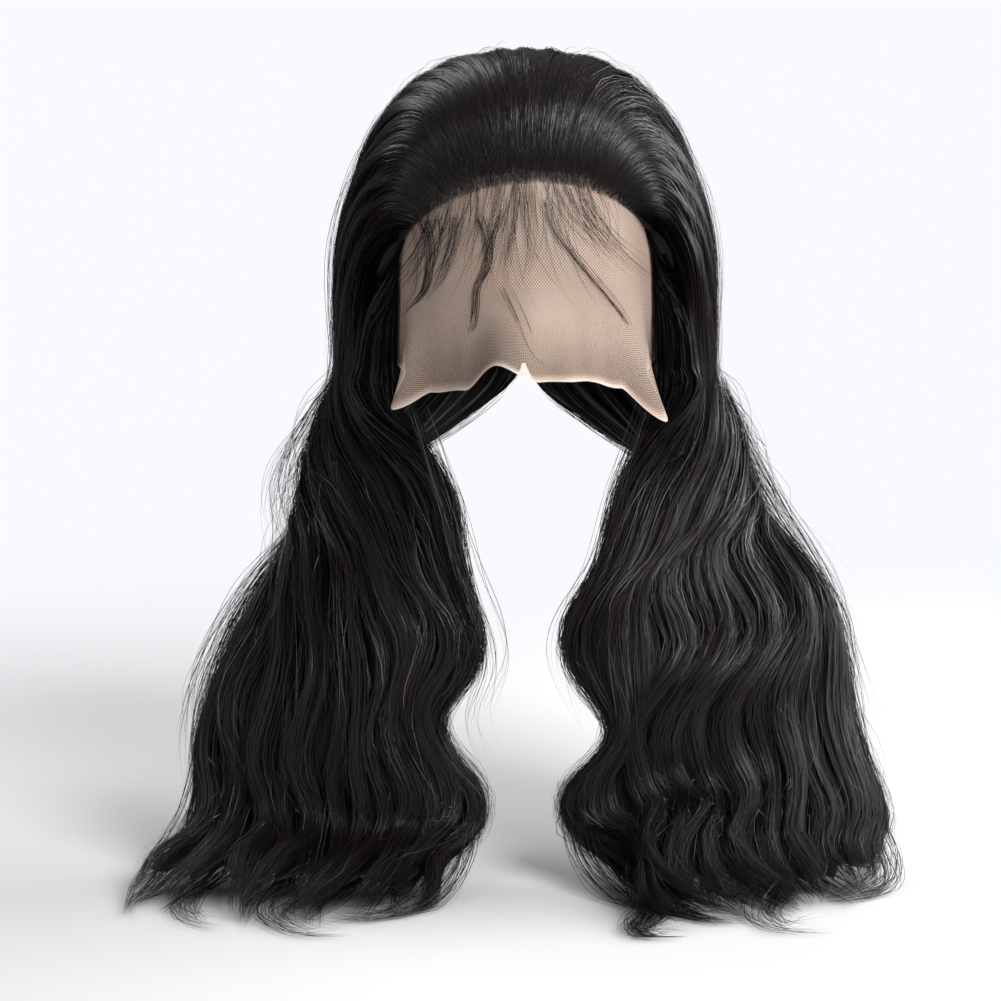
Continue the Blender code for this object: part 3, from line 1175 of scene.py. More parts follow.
@dataclass
class HairSide:
    """One side's hair: its locks, their waves and the coats of strands that follow them."""

    side: Side
    seed: int
    lean: float
    locks: int = 12
    edge_jitter: float = 0.3
    delay_jitter: float = 0.09
    size_range: tuple[float, float] = (0.82, 1.15)
    lock_pull: float = 0.24
    lock_dip: float = 0.30
    fine_clumps: int = 70
    fine_pull: float = 0.40
    wave_length: float = 0.098
    wave_out: float = 0.55
    wave_from: float = 0.34
    wave_full: float = 0.60
    own_sway: float = 0.0022
    own_rate: float = 1.3
    layer_step: tuple[float, float] = (0.13, -0.12)
    layer_jitter: float = 0.06
    tufts: float = 10.0
    tuft_bend: float = 0.35
    tuft_bends: float = 17.0
    tuft_slant: float = 1.2
    tuft_rise: float = 0.07
    drift: float = 0.006
    end_power: float = 1.6
    curl: float = 0.020
    floor_z: float = -0.4105

    def __post_init__(self) -> None:
        """Lays out the sheet and gives every lock its own phase, layer and curl."""
        self.sheet = FlowSheet(self.side)
        rng = np.random.default_rng(self.seed)
        edges = np.linspace(0.0, 1.0, self.locks + 1)
        edges[1:-1] += rng.uniform(-self.edge_jitter, self.edge_jitter, self.locks - 1) / self.locks
        self.lock_edges = edges
        self.lock_middles = 0.5 * (edges[:-1] + edges[1:])
        self.lock_delay = rng.uniform(-self.delay_jitter, self.delay_jitter, self.locks)
        self.lock_size = rng.uniform(*self.size_range, self.locks)
        self.lock_phase = rng.uniform(0.0, 1.0, self.locks)
        layer = np.where(np.arange(self.locks) % 2 == 0, *self.layer_step)
        self.lock_layer = layer + rng.uniform(-self.layer_jitter, self.layer_jitter, self.locks)
        self.lock_curl = rng.uniform(-1.0, 1.0, self.locks) * self.curl
        knots = np.array(WAVE_KNOTS[self.side])
        turn = 2.0 * math.pi * self.sheet.run_at(knots[:, 2]) / self.wave_length
        self.wave_columns = knots[:, 0]
        self.wave_even = knots[:, 1] * np.cos(turn)
        self.wave_odd = knots[:, 1] * np.sin(turn)

    def lock_at(self, column: Array) -> Array:
        """The lock that holds each column."""
        return np.clip(np.searchsorted(self.lock_edges, column) - 1, 0, self.locks - 1)

    def fall_share(self, row: Array) -> Array:
        """How far down the fall a row is, from 0 at the rim to 1 at the tips."""
        rim = self.sheet.rim_share
        return np.clip((row - rim) / (1.0 - rim), 0.0, 1.0)

    def swept(self, label: Array) -> Array:
        """The column at the rim of hair whose root is at a column: it has leant towards the front."""
        return 1.0 - (1.0 - label) ** self.lean

    def unswept(self, column: Array) -> Array:
        """The root's column of hair that passes the rim at a column."""
        return 1.0 - (1.0 - column) ** (1.0 / self.lean)

    def follow(self, column: Array, row: Array, depth: Array, lock: Array) -> tuple[Array, Array]:
        """Places of strands on the waved locks.

        Args:
            column: places across the sheet.
            row: places along it.
            depth: places in its depth, -1 inside and 1 outside.
            lock: each strand's lock.

        Returns:
            The places, and the way across the sheet there.
        """
        sheet = self.sheet
        place = sheet.sample(sheet.places, column, row)
        outward = unit(sheet.sample(sheet.outward, column, row))
        across = unit(sheet.sample(sheet.across, column, row))
        down = self.fall_share(row)
        grown = eased(self.wave_from, self.wave_full, down)
        turn = 2.0 * math.pi * (sheet.run(row) / self.wave_length + self.lock_delay[lock])
        own = 2.0 * math.pi * (self.own_rate * sheet.run(row) / self.wave_length + self.lock_phase[lock])
        even = np.interp(column, self.wave_columns, self.wave_even) * self.lock_size[lock]
        odd = np.interp(column, self.wave_columns, self.wave_odd) * self.lock_size[lock]
        sway = (even * np.cos(turn) + odd * np.sin(turn) + self.own_sway * np.sin(own)) * grown
        swell = even * np.sin(turn) - odd * np.cos(turn) + self.own_sway * np.cos(own)
        swell = swell * grown * self.wave_out
        sway = sway + self.lock_curl[lock] * eased(0.84, 1.05, down) ** 2
        layer = depth + self.lock_layer[lock] * eased(0.05, 0.4, down)
        bend = self.tuft_bend * np.sin(self.tuft_bends * column)
        tuft = np.sin(2.0 * math.pi * (self.tufts * column + bend + self.tuft_slant * row))
        layer = layer + self.tuft_rise * tuft * eased(0.02, 0.16, row) * (1.0 - eased(0.0, 0.5, down))
        half = sheet.sample(sheet.half_depth, column, row)
        place = place + outward * (half * layer + swell)[..., None]
        place = place - across * (self.side.value * sway)[..., None]
        place[..., 2] = np.maximum(place[..., 2], self.floor_z)
        return place, across

    def coat(self, plan: StrandPlan, seed: int) -> Strands:
        """Draws one coat of strands.

        Args:
            plan: how they lie.
            seed: the coat's own seed.

        Returns:
            The strands.
        """
        rng = np.random.default_rng(self.seed * 1000 + seed)
        count = plan.count
        t = np.linspace(0.0, 1.0, plan.points)[None, :]
        column = rng.uniform(*plan.column, (count, 1))
        if plan.rooted:
            column = self.swept(column)
        start = rng.uniform(*plan.start, (count, 1))
        early = rng.uniform(0.0, 1.0, (count, 1)) ** self.end_power
        end = plan.end[1] - (plan.end[1] - plan.end[0]) * early
        row = start + (end - start if not plan.short else end) * t
        down = self.fall_share(row)
        lock = self.lock_at(column)
        middle = self.lock_middles[lock]
        clump = (np.floor(column * self.fine_clumps) + 0.5) / self.fine_clumps
        place = column + (clump - column) * self.fine_pull * eased(0.0, 0.9, row)
        place = place + (middle - place) * self.lock_pull * eased(0.50, 1.05, down) ** 1.5
        place = place + self.drift * wander(rng, count, plan.points, (0.4, 1.6)) * (0.15 + down)
        place = np.clip(place + plan.slant * rng.normal(0.0, 1.0, (count, 1)) * (t - 0.5), 0.0, 1.0)
        leant = eased(0.0, 0.9, row / self.sheet.rim_share)
        root = self.unswept(place)
        place = root + (place - root) * leant
        reach = (column - middle) / (0.5 / self.locks)
        depth = rng.uniform(*plan.depth, (count, 1))
        dip = 1.0 - self.lock_dip * np.minimum(reach**2, 1.5) * eased(0.05, 0.5, down)
        sunk = plan.sink_start * (1.0 - eased(0.0, 0.18, t)) + plan.sink_end * eased(0.75, 1.0, t)
        depth = depth * dip - sunk
        if plan.root_depth is not None:
            depth = plan.root_depth + (depth - plan.root_depth) * eased(0.0, plan.root_span, t)
            fan = plan.spread * rng.uniform(0.0, 1.0, (count, 1)) * eased(0.0, 0.7, t)
            place = np.clip(place - fan, 0.0, 1.0)
        lines, across = self.follow(place, row, depth, np.broadcast_to(lock, row.shape))
        lines = lines + across * rng.uniform(*plan.nudge, (count, 1, 1))
        stray = plan.stray * (0.25 + 0.75 * eased(0.0, 1.0, row))
        for axis in range(3):
            lines[..., axis] += stray * wander(rng, count, plan.points, (0.6, 2.8))
        lines[..., 2] = np.maximum(lines[..., 2], self.floor_z)
        lines = reined(lines)
        width = plan.width / 2.0 * rng.uniform(0.6, 1.3, (count, 1))
        width = width * tapered(plan.points, plan.root_taper, plan.tip_taper)[None, :]
        return Strands(lines, faced(rng, lines, across, plan.tilt), width, rng.uniform(0.0, TOP_TONE, count))

    def core_grid(self, column: Array, row: Array, depth: Array) -> Array:
        """A grid of the hair's body under its strands, waved as they are.

        Args:
            column: places across the sheet.
            row: places along it.
            depth: places in its depth.

        Returns:
            The grid's points.
        """
        lock = self.lock_at(column)
        places = np.zeros((*column.shape, 3))
        for step in (-1, 0, 1):
            near = np.clip(lock + step, 0, self.locks - 1)
            share = 0.5 if step == 0 else 0.25
            places += share * self.follow(column, row, depth, near)[0]
        return places


@dataclass(frozen=True)
class CrownHair:
    """The swept-back hair over the cap: a dark core, and coats of strands on each side."""

    core_depth: float = 0.62
    core_inside: float = -0.96
    core_start: float = 0.016
    core_side: float = 0.955
    columns: int = 48
    rows: int = 50
    locks: tuple[StrandPlan, ...] = (
        StrandPlan(1000, 20, (0.0, 0.020), (0.46, 0.60), (0.66, 0.96), rooted=True, width=0.0012, tilt=16.0,
                   stray=0.0005, sink_end=0.35, root_taper=0.05),
        StrandPlan(640, 18, (0.01, 0.15), (0.45, 0.58), (0.60, 0.96), width=0.0014, tilt=16.0,
                   stray=0.0005, sink_start=0.35, sink_end=0.3, root_taper=0.10),
        StrandPlan(1000, 16, (0.0, 0.30), (0.45, 0.58), (-0.3, 0.94), column=(0.950, 1.0), rooted=True,
                   root_depth=-1.0, root_span=0.42, spread=0.11, width=0.0017, tilt=50.0, stray=0.0006),
        StrandPlan(200, 14, (0.0, 0.12), (0.40, 0.50), (-1.0, 0.95), column=(0.985, 1.0), rooted=True,
                   root_depth=-1.0, nudge=(0.0004, 0.0024), width=0.0014, tilt=70.0),
    )
    hairs: tuple[StrandPlan, ...] = (
        StrandPlan(1200, 18, (0.0, 0.03), (0.30, 0.58), (0.88, 1.03), rooted=True, width=0.00030, tilt=18.0,
                   stray=0.0008, sink_end=0.3, root_taper=0.05),
        StrandPlan(300, 14, (0.03, 0.22), (0.30, 0.56), (0.94, 1.06), width=0.00026, tilt=35.0, stray=0.0016,
                   slant=0.03, sink_start=0.3, root_taper=0.05),
    )

    def build(self, sides: Sequence[HairSide], finishes: HairFinishes) -> None:
        """Builds the core, each side's locks and the single hairs.

        Args:
            sides: the left and right hair.
            finishes: the finishes of hair.
        """
        self._core(sides, finishes.core)
        for hair in sides:
            name = f"{hair.side.name.lower()}_crown_strands"
            coats = [hair.coat(plan, index) for index, plan in enumerate(self.locks)]
            settle(ribbon_piece(name, coats, finishes.strand), Slot.HAIR)
        fine = [hair.coat(plan, 10 + index) for hair in sides for index, plan in enumerate(self.hairs)]
        settle(ribbon_piece("crown_single_hairs", fine, finishes.wisp), Slot.HAIR)

    def _core(self, sides: Sequence[HairSide], finish: bpy.types.Material) -> None:
        """Builds the closed body between the cap and the strands.

        Args:
            sides: the left and right hair.
            finish: the core's finish.
        """
        grids = []
        for depth in (self.core_depth, self.core_inside):
            halves = []
            for hair in sides:
                columns = np.linspace(0.0, self.core_side, self.columns)
                rows = np.linspace(self.core_start, hair.sheet.rim_share, self.rows)
                column, row = np.meshgrid(columns, rows, indexing="ij")
                halves.append(hair.core_grid(column, row, np.full_like(row, depth)))
            left, right = halves
            grids.append(np.concatenate([left[::-1], right[1:]]))
        settle(shell_piece("crown_core", *grids, finish), Slot.HAIR, "crown_hair")


@dataclass(frozen=True)
class Fall:
    """The hair that hangs on one side: a core whose locks end in points, and coats of strands."""

    core_depth: float = 0.60
    core_lap: float = 0.004
    core_end: float = 0.970
    core_notch: float = 0.016
    core_sides: tuple[float, float] = (0.02, 0.975)
    columns: int = 50
    rows: int = 72
    locks: tuple[StrandPlan, ...] = (
        StrandPlan(1150, 36, (0.27, 0.36), (0.92, 1.0), (0.50, 0.98), width=0.0013, tilt=24.0,
                   sink_start=0.25, tip_taper=0.20),
        StrandPlan(240, 28, (0.30, 0.40), (0.90, 1.0), (-0.98, -0.58), stray=0.0010),
        StrandPlan(170, 32, (0.28, 0.40), (0.90, 1.0), (-0.9, 0.9), column=(0.955, 1.0), stray=0.0012,
                   nudge=(0.0, 0.002), width=0.0014, tilt=60.0),
        StrandPlan(130, 32, (0.28, 0.40), (0.90, 1.0), (-0.9, 0.9), column=(0.0, 0.045), stray=0.0016,
                   nudge=(-0.002, 0.0), width=0.0014, tilt=60.0, tip_taper=0.3),
        StrandPlan(760, 20, (0.60, 0.76), (0.95, 1.0), (-0.7, 0.8), stray=0.0030, width=0.0012, tilt=40.0),
    )
    hairs: tuple[StrandPlan, ...] = (
        StrandPlan(950, 34, (0.30, 0.45), (0.86, 1.0), (0.74, 1.04), width=0.00030, tilt=30.0, stray=0.0020,
                   sink_start=0.25, root_taper=0.04, tip_taper=0.4),
        StrandPlan(460, 8, (0.40, 0.94), (0.04, 0.11), (0.95, 1.15), short=True, width=0.00022, tilt=50.0,
                   stray=0.0030, slant=0.07, root_taper=0.3, tip_taper=0.5),
        StrandPlan(170, 28, (0.36, 0.60), (0.92, 1.0), (-1.0, 1.0), column=(0.96, 1.0), width=0.00026,
                   tilt=60.0, stray=0.0040, nudge=(0.0, 0.005), root_taper=0.05, tip_taper=0.5),
        StrandPlan(170, 28, (0.36, 0.60), (0.92, 1.0), (-1.0, 1.0), column=(0.0, 0.04), width=0.00026,
                   tilt=60.0, stray=0.0040, nudge=(-0.005, 0.0), root_taper=0.05, tip_taper=0.5),
        StrandPlan(420, 16, (0.78, 0.90), (0.96, 1.0), (-0.8, 1.0), width=0.00028, tilt=60.0, stray=0.0075,
                   root_taper=0.05, tip_taper=0.6),
    )

    def build(self, hair: HairSide, finishes: HairFinishes) -> None:
        """Builds one side's core, locks and single hairs.

        Args:
            hair: the side's hair.
            finishes: the finishes of hair.
        """
        label = hair.side.name.lower()
        columns = np.linspace(*self.core_sides, self.columns)
        column, share = np.meshgrid(columns, np.linspace(0.0, 1.0, self.rows), indexing="ij")
        reach = np.abs(column - hair.lock_middles[hair.lock_at(column)]) * 2.0 * hair.locks
        top = hair.sheet.rim_share - self.core_lap
        row = top + (self.core_end - self.core_notch * np.minimum(reach, 1.2) - top) * share
        depth = self.core_depth * (0.06 + 0.94 * (1.0 - eased(0.72, 1.0, share)))
        grids = (hair.core_grid(column, row, depth), hair.core_grid(column, row, -depth))
        piece = shell_piece(f"{label}_fall_core", *grids, finishes.core)
        settle(piece, Slot.HAIR, f"{label}_front_fall", f"{label}_back_fall")
        coats = [hair.coat(plan, 20 + index) for index, plan in enumerate(self.locks)]
        settle(ribbon_piece(f"{label}_fall_strands", coats, finishes.strand), Slot.HAIR)
        coats = [hair.coat(plan, 40 + index) for index, plan in enumerate(self.hairs)]
        settle(ribbon_piece(f"{label}_fall_single_hairs", coats, finishes.wisp), Slot.HAIR)


# A way that no loose lock runs along, so that its width never flips
ASKEW = np.array([0.0, 1.0, -1.0])


@dataclass(frozen=True)
class LooseLock:
    """A lock that leaves the mass of hair along its own line.

    Attributes:
        name: what the log calls it.
        route: the points that its middle passes.
        count: how many strands.
        radius: its half width at the root.
        tip_radius: its half width at the tip.
        width: a strand's width.
        points: points on each strand.
        stray: how far a strand wanders.
        shorter: how much shorter than the route the shortest strand is, as a share.
        flatness: its depth as a share of its width.
        twist: how far the strands turn round it, in radians.
        tilt: the largest roll of a strand, in degrees.
        root_taper: the share of a strand's length that thins at the root.
        tip_taper: the share that thins at the tip.
    """

    name: str
    route: tuple[Place, ...]
    count: int
    radius: float
    tip_radius: float
    width: float = 0.0004
    points: int = 26
    stray: float = 0.0036
    shorter: float = 0.45
    flatness: float = 0.45
    twist: float = 0.8
    tilt: float = 80.0
    root_taper: float = 0.05
    tip_taper: float = 0.4

    def strands(self, seed: int, floor_z: float) -> Strands:
        """Draws the lock's strands round its route.

        Args:
            seed: the lock's own seed.
            floor_z: the lowest that a strand may lie.

        Returns:
            The strands.
        """
        rng = np.random.default_rng(seed)
        t = np.linspace(0.0, 1.0, self.points)[None, :]
        share = t * (1.0 - self.shorter * rng.uniform(0.0, 1.0, (self.count, 1)) ** 2)
        route = smooth_through(np.array(self.route), share.ravel()).reshape(self.count, self.points, 3)
        run = unit(np.gradient(route, axis=1))
        wide = unit(np.cross(run, ASKEW))
        deep = np.cross(run, wide) * self.flatness
        angle = rng.uniform(0.0, 2.0 * math.pi, (self.count, 1)) + self.twist * t
        reach = np.sqrt(rng.uniform(0.0, 1.0, (self.count, 1)))
        radius = reach * (self.radius + (self.tip_radius - self.radius) * eased(0.0, 1.0, share))
        lines = route + wide * (radius * np.cos(angle))[..., None]
        lines = lines + deep * (radius * np.sin(angle))[..., None]
        for axis in range(3):
            lines[..., axis] += self.stray * wander(rng, self.count, self.points, (0.5, 2.2)) * (0.2 + t)
        lines[..., 2] = np.maximum(lines[..., 2], floor_z)
        lines = reined(lines)
        width = self.width / 2.0 * rng.uniform(0.6, 1.3, (self.count, 1))
        width = width * tapered(self.points, self.root_taper, self.tip_taper)[None, :]
        tone = rng.uniform(0.0, 1.0, self.count)
        LOG.debug("%s: %d hairs", self.name, self.count)
        return Strands(lines, faced(rng, lines, wide, self.tilt), width, tone)


TIP_LOCKS = (
    LooseLock(
        "left_outer_tip",
        (Place(-0.165, -0.075, -0.350), Place(-0.176, -0.100, -0.385), Place(-0.192, -0.135, -0.404),
         Place(-0.206, -0.162, -0.409), Place(-0.203, -0.186, -0.410)),
        80, 0.015, 0.0055, 0.0003,
    ),
    LooseLock(
        "left_outer_curl",
        (Place(-0.145, -0.085, -0.350), Place(-0.155, -0.118, -0.390), Place(-0.175, -0.158, -0.408),
         Place(-0.168, -0.192, -0.410), Place(-0.148, -0.206, -0.410)),
        60, 0.013, 0.0060, 0.0003,
    ),
    LooseLock(
        "left_middle_curl",
        (Place(-0.110, -0.100, -0.355), Place(-0.112, -0.140, -0.398), Place(-0.128, -0.180, -0.409),
         Place(-0.112, -0.212, -0.410), Place(-0.088, -0.215, -0.410)),
        56, 0.015, 0.0070, 0.0003,
    ),
    LooseLock(
        "left_inner_curl",
        (Place(-0.040, -0.104, -0.365), Place(-0.038, -0.128, -0.392), Place(-0.054, -0.165, -0.408),
         Place(-0.082, -0.186, -0.410), Place(-0.104, -0.184, -0.410)),
        80, 0.013, 0.0060, 0.0003,
    ),
    LooseLock(
        "right_hook",
        (Place(0.050, -0.104, -0.362), Place(0.060, -0.136, -0.396), Place(0.063, -0.176, -0.409),
         Place(0.054, -0.204, -0.410), Place(0.062, -0.221, -0.410), Place(0.080, -0.222, -0.410)),
        110, 0.014, 0.0050, 0.0003,
    ),
    LooseLock(
        "right_inner_curl",
        (Place(0.030, -0.104, -0.360), Place(0.034, -0.128, -0.392), Place(0.054, -0.160, -0.408),
         Place(0.086, -0.186, -0.410), Place(0.116, -0.190, -0.410)),
        90, 0.014, 0.0070, 0.0003,
    ),
    LooseLock(
        "right_outer_curl",
        (Place(0.166, -0.080, -0.352), Place(0.184, -0.100, -0.386), Place(0.188, -0.130, -0.404),
         Place(0.172, -0.150, -0.409), Place(0.146, -0.158, -0.410)),
        90, 0.011, 0.0060, 0.0003,
    ),
    LooseLock(
        "right_middle_curl",
        (Place(0.130, -0.098, -0.362), Place(0.134, -0.134, -0.398), Place(0.118, -0.176, -0.409),
         Place(0.128, -0.205, -0.410), Place(0.152, -0.208, -0.410)),
        60, 0.014, 0.0070, 0.0003,
    ),
)

FLYAWAY_LOCKS = (
    LooseLock(
        "left_bow",
        (Place(-0.098, 0.012, -0.150), Place(-0.118, 0.008, -0.178), Place(-0.134, 0.002, -0.206),
         Place(-0.136, -0.006, -0.234), Place(-0.124, -0.014, -0.264)),
        46, 0.006, 0.012, 0.00024, 24, 0.0030,
    ),
    LooseLock(
        "left_shoulder_veil",
        (Place(-0.116, 0.008, -0.236), Place(-0.146, -0.014, -0.268), Place(-0.168, -0.040, -0.306),
         Place(-0.176, -0.060, -0.344), Place(-0.176, -0.074, -0.380)),
        140, 0.009, 0.014, 0.00024, 26, 0.0040,
    ),
    LooseLock(
        "right_back_veil",
        (Place(0.106, 0.012, -0.160), Place(0.121, 0.010, -0.195), Place(0.142, 0.000, -0.235),
         Place(0.166, -0.020, -0.275), Place(0.180, -0.040, -0.320), Place(0.190, -0.060, -0.362)),
        80, 0.008, 0.012, 0.00028, 32, 0.0030,
    ),
    LooseLock(
        "right_cheek_strands",
        (Place(0.066, -0.066, -0.160), Place(0.052, -0.078, -0.200), Place(0.040, -0.090, -0.245),
         Place(0.020, -0.102, -0.290), Place(0.036, -0.110, -0.330)),
        34, 0.006, 0.010, 0.00028, 30, 0.0030,
    ),
    LooseLock(
        "left_cheek_strands",
        (Place(-0.058, -0.068, -0.165), Place(-0.044, -0.082, -0.205), Place(-0.030, -0.096, -0.250),
         Place(-0.018, -0.106, -0.292), Place(-0.026, -0.112, -0.325), Place(-0.016, -0.116, -0.352)),
        34, 0.006, 0.012, 0.00028, 32, 0.0035,
    ),
)


@dataclass(frozen=True)
class LooseHair:
    """Everything that leaves the mass: curled tips, veils of flyaways and single stray hairs."""

    seed: int = 77
    stray_coats: tuple[StrandPlan, ...] = (
        StrandPlan(110, 24, (0.04, 0.30), (0.38, 0.66), (1.02, 1.35), width=0.00020, stray=0.0026, tilt=85.0,
                   sink_start=0.6, root_taper=0.05, tip_taper=0.5),
        StrandPlan(260, 28, (0.36, 0.70), (0.80, 1.0), (0.9, 1.6), width=0.00022, stray=0.0060, tilt=85.0,
                   sink_start=0.5, root_taper=0.05, tip_taper=0.5),
        StrandPlan(80, 30, (0.40, 0.66), (0.80, 1.0), (-0.9, 0.9), column=(0.97, 1.0), width=0.00022,
                   stray=0.0080, tilt=85.0, root_taper=0.05, tip_taper=0.5),
        StrandPlan(180, 26, (0.40, 0.74), (0.80, 1.0), (-0.9, 0.9), column=(0.0, 0.06), width=0.00022,
                   stray=0.0080, tilt=85.0, root_taper=0.05, tip_taper=0.5),
    )

    def build(self, sides: Sequence[HairSide], finishes: HairFinishes) -> None:
        """Builds the curled tips and the flyaways.

        Args:
            sides: the left and right hair.
            finishes: the finishes of hair.
        """
        floor_z = sides[0].floor_z
        tips = [lock.strands(self.seed + index, floor_z) for index, lock in enumerate(TIP_LOCKS)]
        settle(ribbon_piece("curled_tips", tips, finishes.wisp), Slot.HAIR)
        loose = [lock.strands(self.seed + 50 + index, floor_z) for index, lock in enumerate(FLYAWAY_LOCKS)]
        for hair in sides:
            loose += [hair.coat(plan, 60 + index) for index, plan in enumerate(self.stray_coats)]
        settle(ribbon_piece("flyaway_strands", loose, finishes.wisp), Slot.HAIR)


LACE_EDGES = (
    LaceEdge(-66.0, -0.142, 0.000),
    LaceEdge(-58.0, -0.148, 0.000),
    LaceEdge(-50.0, -0.166, 0.016),
    LaceEdge(-37.0, -0.156, 0.004),
    LaceEdge(-22.0, -0.153, 0.010),
    LaceEdge(-9.0, -0.138, 0.014),
    LaceEdge(4.0, -0.147, 0.003),
    LaceEdge(20.0, -0.148, 0.010),
    LaceEdge(38.0, -0.154, 0.003),
    LaceEdge(50.0, -0.172, 0.021),
    LaceEdge(58.0, -0.148, 0.000),
    LaceEdge(66.0, -0.142, 0.000),
)


@dataclass(frozen=True)
class LaceFront:
    """The sheer panel: it lies on the form under the hair, then hangs free in front."""

    side: float = 66.0
    seam_fan: float = 86.0
    on_head_share: float = 0.55
    middle_push: float = 0.019
    middle_side: float = 13.0
    push_top_z: float = -0.088
    push_tip_z: float = -0.138
    proud: float = 0.0005
    columns: int = 112
    rows: int = 112
    ripple: float = 0.0011
    ripples: float = 9.0
    flat_width: float = 0.190
    flat_length: float = 0.215
    tape_width: float = 0.0016
    tape_steps: int = 260
    tape_from: float = 0.975
    tape_proud: float = 0.0004

    def edge(self, side: Array) -> tuple[Array, Array]:
        """The free edge, eased between the table's rows.

        Args:
            side: angles to the side, in degrees.

        Returns:
            Its heights and its flares there.
        """
        table = np.array(LACE_EDGES)
        index = np.clip(np.searchsorted(table[:, 0], side) - 1, 0, len(table) - 2)
        low, high = table[index], table[index + 1]
        share = eased(0.0, 1.0, (side - low[..., 0]) / (high[..., 0] - low[..., 0]))[..., None]
        row = low + (high - low) * share
        return row[..., 1], row[..., 2]

    def middle_bulge(self, side: Array, z: Array) -> Array:
        """How far the lace's middle stands forward, low down, at angles to the side and heights."""
        across = np.exp(-((side / self.middle_side) ** 2))
        return self.middle_push * across * eased(self.push_top_z, self.push_tip_z, z)

    def place(self, u: Array, v: Array) -> Array:
        """Places of the lace.

        Args:
            u: 0 at the left edge and 1 at the right.
            v: 0 at the seam and 1 at the free edge.

        Returns:
            Places in metres.
        """
        side = self.side * (2.0 * u - 1.0)
        lean = np.radians(side)
        turn = np.radians(self.seam_fan * np.maximum(1.0 - v / self.on_head_share, 0.0))
        hang = np.clip((v - self.on_head_share) / (1.0 - self.on_head_share), 0.0, 1.0)
        edge_z, flare = self.edge(side)
        x = (HEAD.half_width + self.proud) * np.sin(lean)
        y = -(HEAD.half_depth + self.proud) * np.cos(lean) * np.cos(turn)
        z = (HEAD.half_height + self.proud) * np.cos(lean) * np.sin(turn) - HEAD.half_height
        z = z + (edge_z + HEAD.half_height) * hang
        outward = unit(np.stack([x, y, np.zeros_like(x)], -1))
        wave = self.ripple * np.sin(2.0 * math.pi * self.ripples * u + 1.7 * np.sin(9.0 * u)) * hang**1.5
        push = flare * hang**2 + self.middle_bulge(side, z) + wave
        return np.stack([x, y, z], -1) + outward * push[..., None]

    def front_y(self, x: Array, z: Array) -> Array:
        """How far forward the lace is, without its flare and ripples, at places seen from the front.

        Args:
            x: the places' distances to the side.
            z: their heights.

        Returns:
            The lace's Y there.
        """
        high = np.maximum((z + HEAD.half_height) / HEAD.half_height, 0.0)
        share = np.clip(1.0 - (x / HEAD.half_width) ** 2 - high**2, 0.03, 1.0)
        side = np.degrees(np.arcsin(np.clip(x / HEAD.half_width, -1.0, 1.0)))
        return -HEAD.half_depth * np.sqrt(share) - self.middle_bulge(side, z)

    def build(self, finish: bpy.types.Material, tape: bpy.types.Material) -> None:
        """Args:
            finish: the net.
            tape: the whitish cut edge.
        """
        across, down = np.linspace(0.0, 1.0, self.columns), np.linspace(0.0, 1.0, self.rows)
        u, v = np.meshgrid(across, down, indexing="ij")
        index = np.arange(u.size).reshape(u.shape)
        faces = np.stack([index[:-1, :-1], index[:-1, 1:], index[1:, 1:], index[1:, :-1]], -1).reshape(-1, 4)
        points = self.place(u, v).reshape(-1, 3)
        sheet = mesh_piece("lace_sheet", points, faces, np.stack([u, v], -1).reshape(-1, 2), finish)
        settle(sheet, Slot.LACE, "lace_front")
        edge = self._tape(tape)

    def _tape(self, finish: bpy.types.Material) -> bpy.types.Object:
        """Builds the whitish line along the cut edge, as a narrow ribbon of uneven width.

        Args:
            finish: the cut edge's finish.

        Returns:
            The piece.
        """
        steps = self.tape_steps
        u = np.linspace(0.0, 1.0, steps)
        low = self.place(u, np.full(steps, 1.0))
        high = self.place(u, np.full(steps, self.tape_from))
        up = unit(high - low)
        forward = np.array([0.0, -1.0, 0.0]) * self.tape_proud
        width = self.tape_width * (0.75 + 0.35 * np.sin(31.0 * u) * np.sin(13.0 * u + 1.0))
        rows = [low + forward, low + forward + up * width[:, None]]
        points = np.stack(rows, 1).reshape(-1, 3)
        index = np.arange(steps * 2).reshape(steps, 2)
        faces = np.stack([index[:-1, 0], index[1:, 0], index[1:, 1], index[:-1, 1]], -1)
        places = np.stack(np.meshgrid(u, [0.0, 1.0], indexing="ij"), -1).reshape(-1, 2)
        return settle(mesh_piece("lace_cut_edge", points, faces, places, finish), Slot.LACE)


@dataclass(frozen=True)
class Wisp:
    """A thin lock of short hair that falls from the hairline over the lace."""

    name: str
    trace: tuple[Trace, ...]
    count: int
    spread: float
    width: float = 0.00030


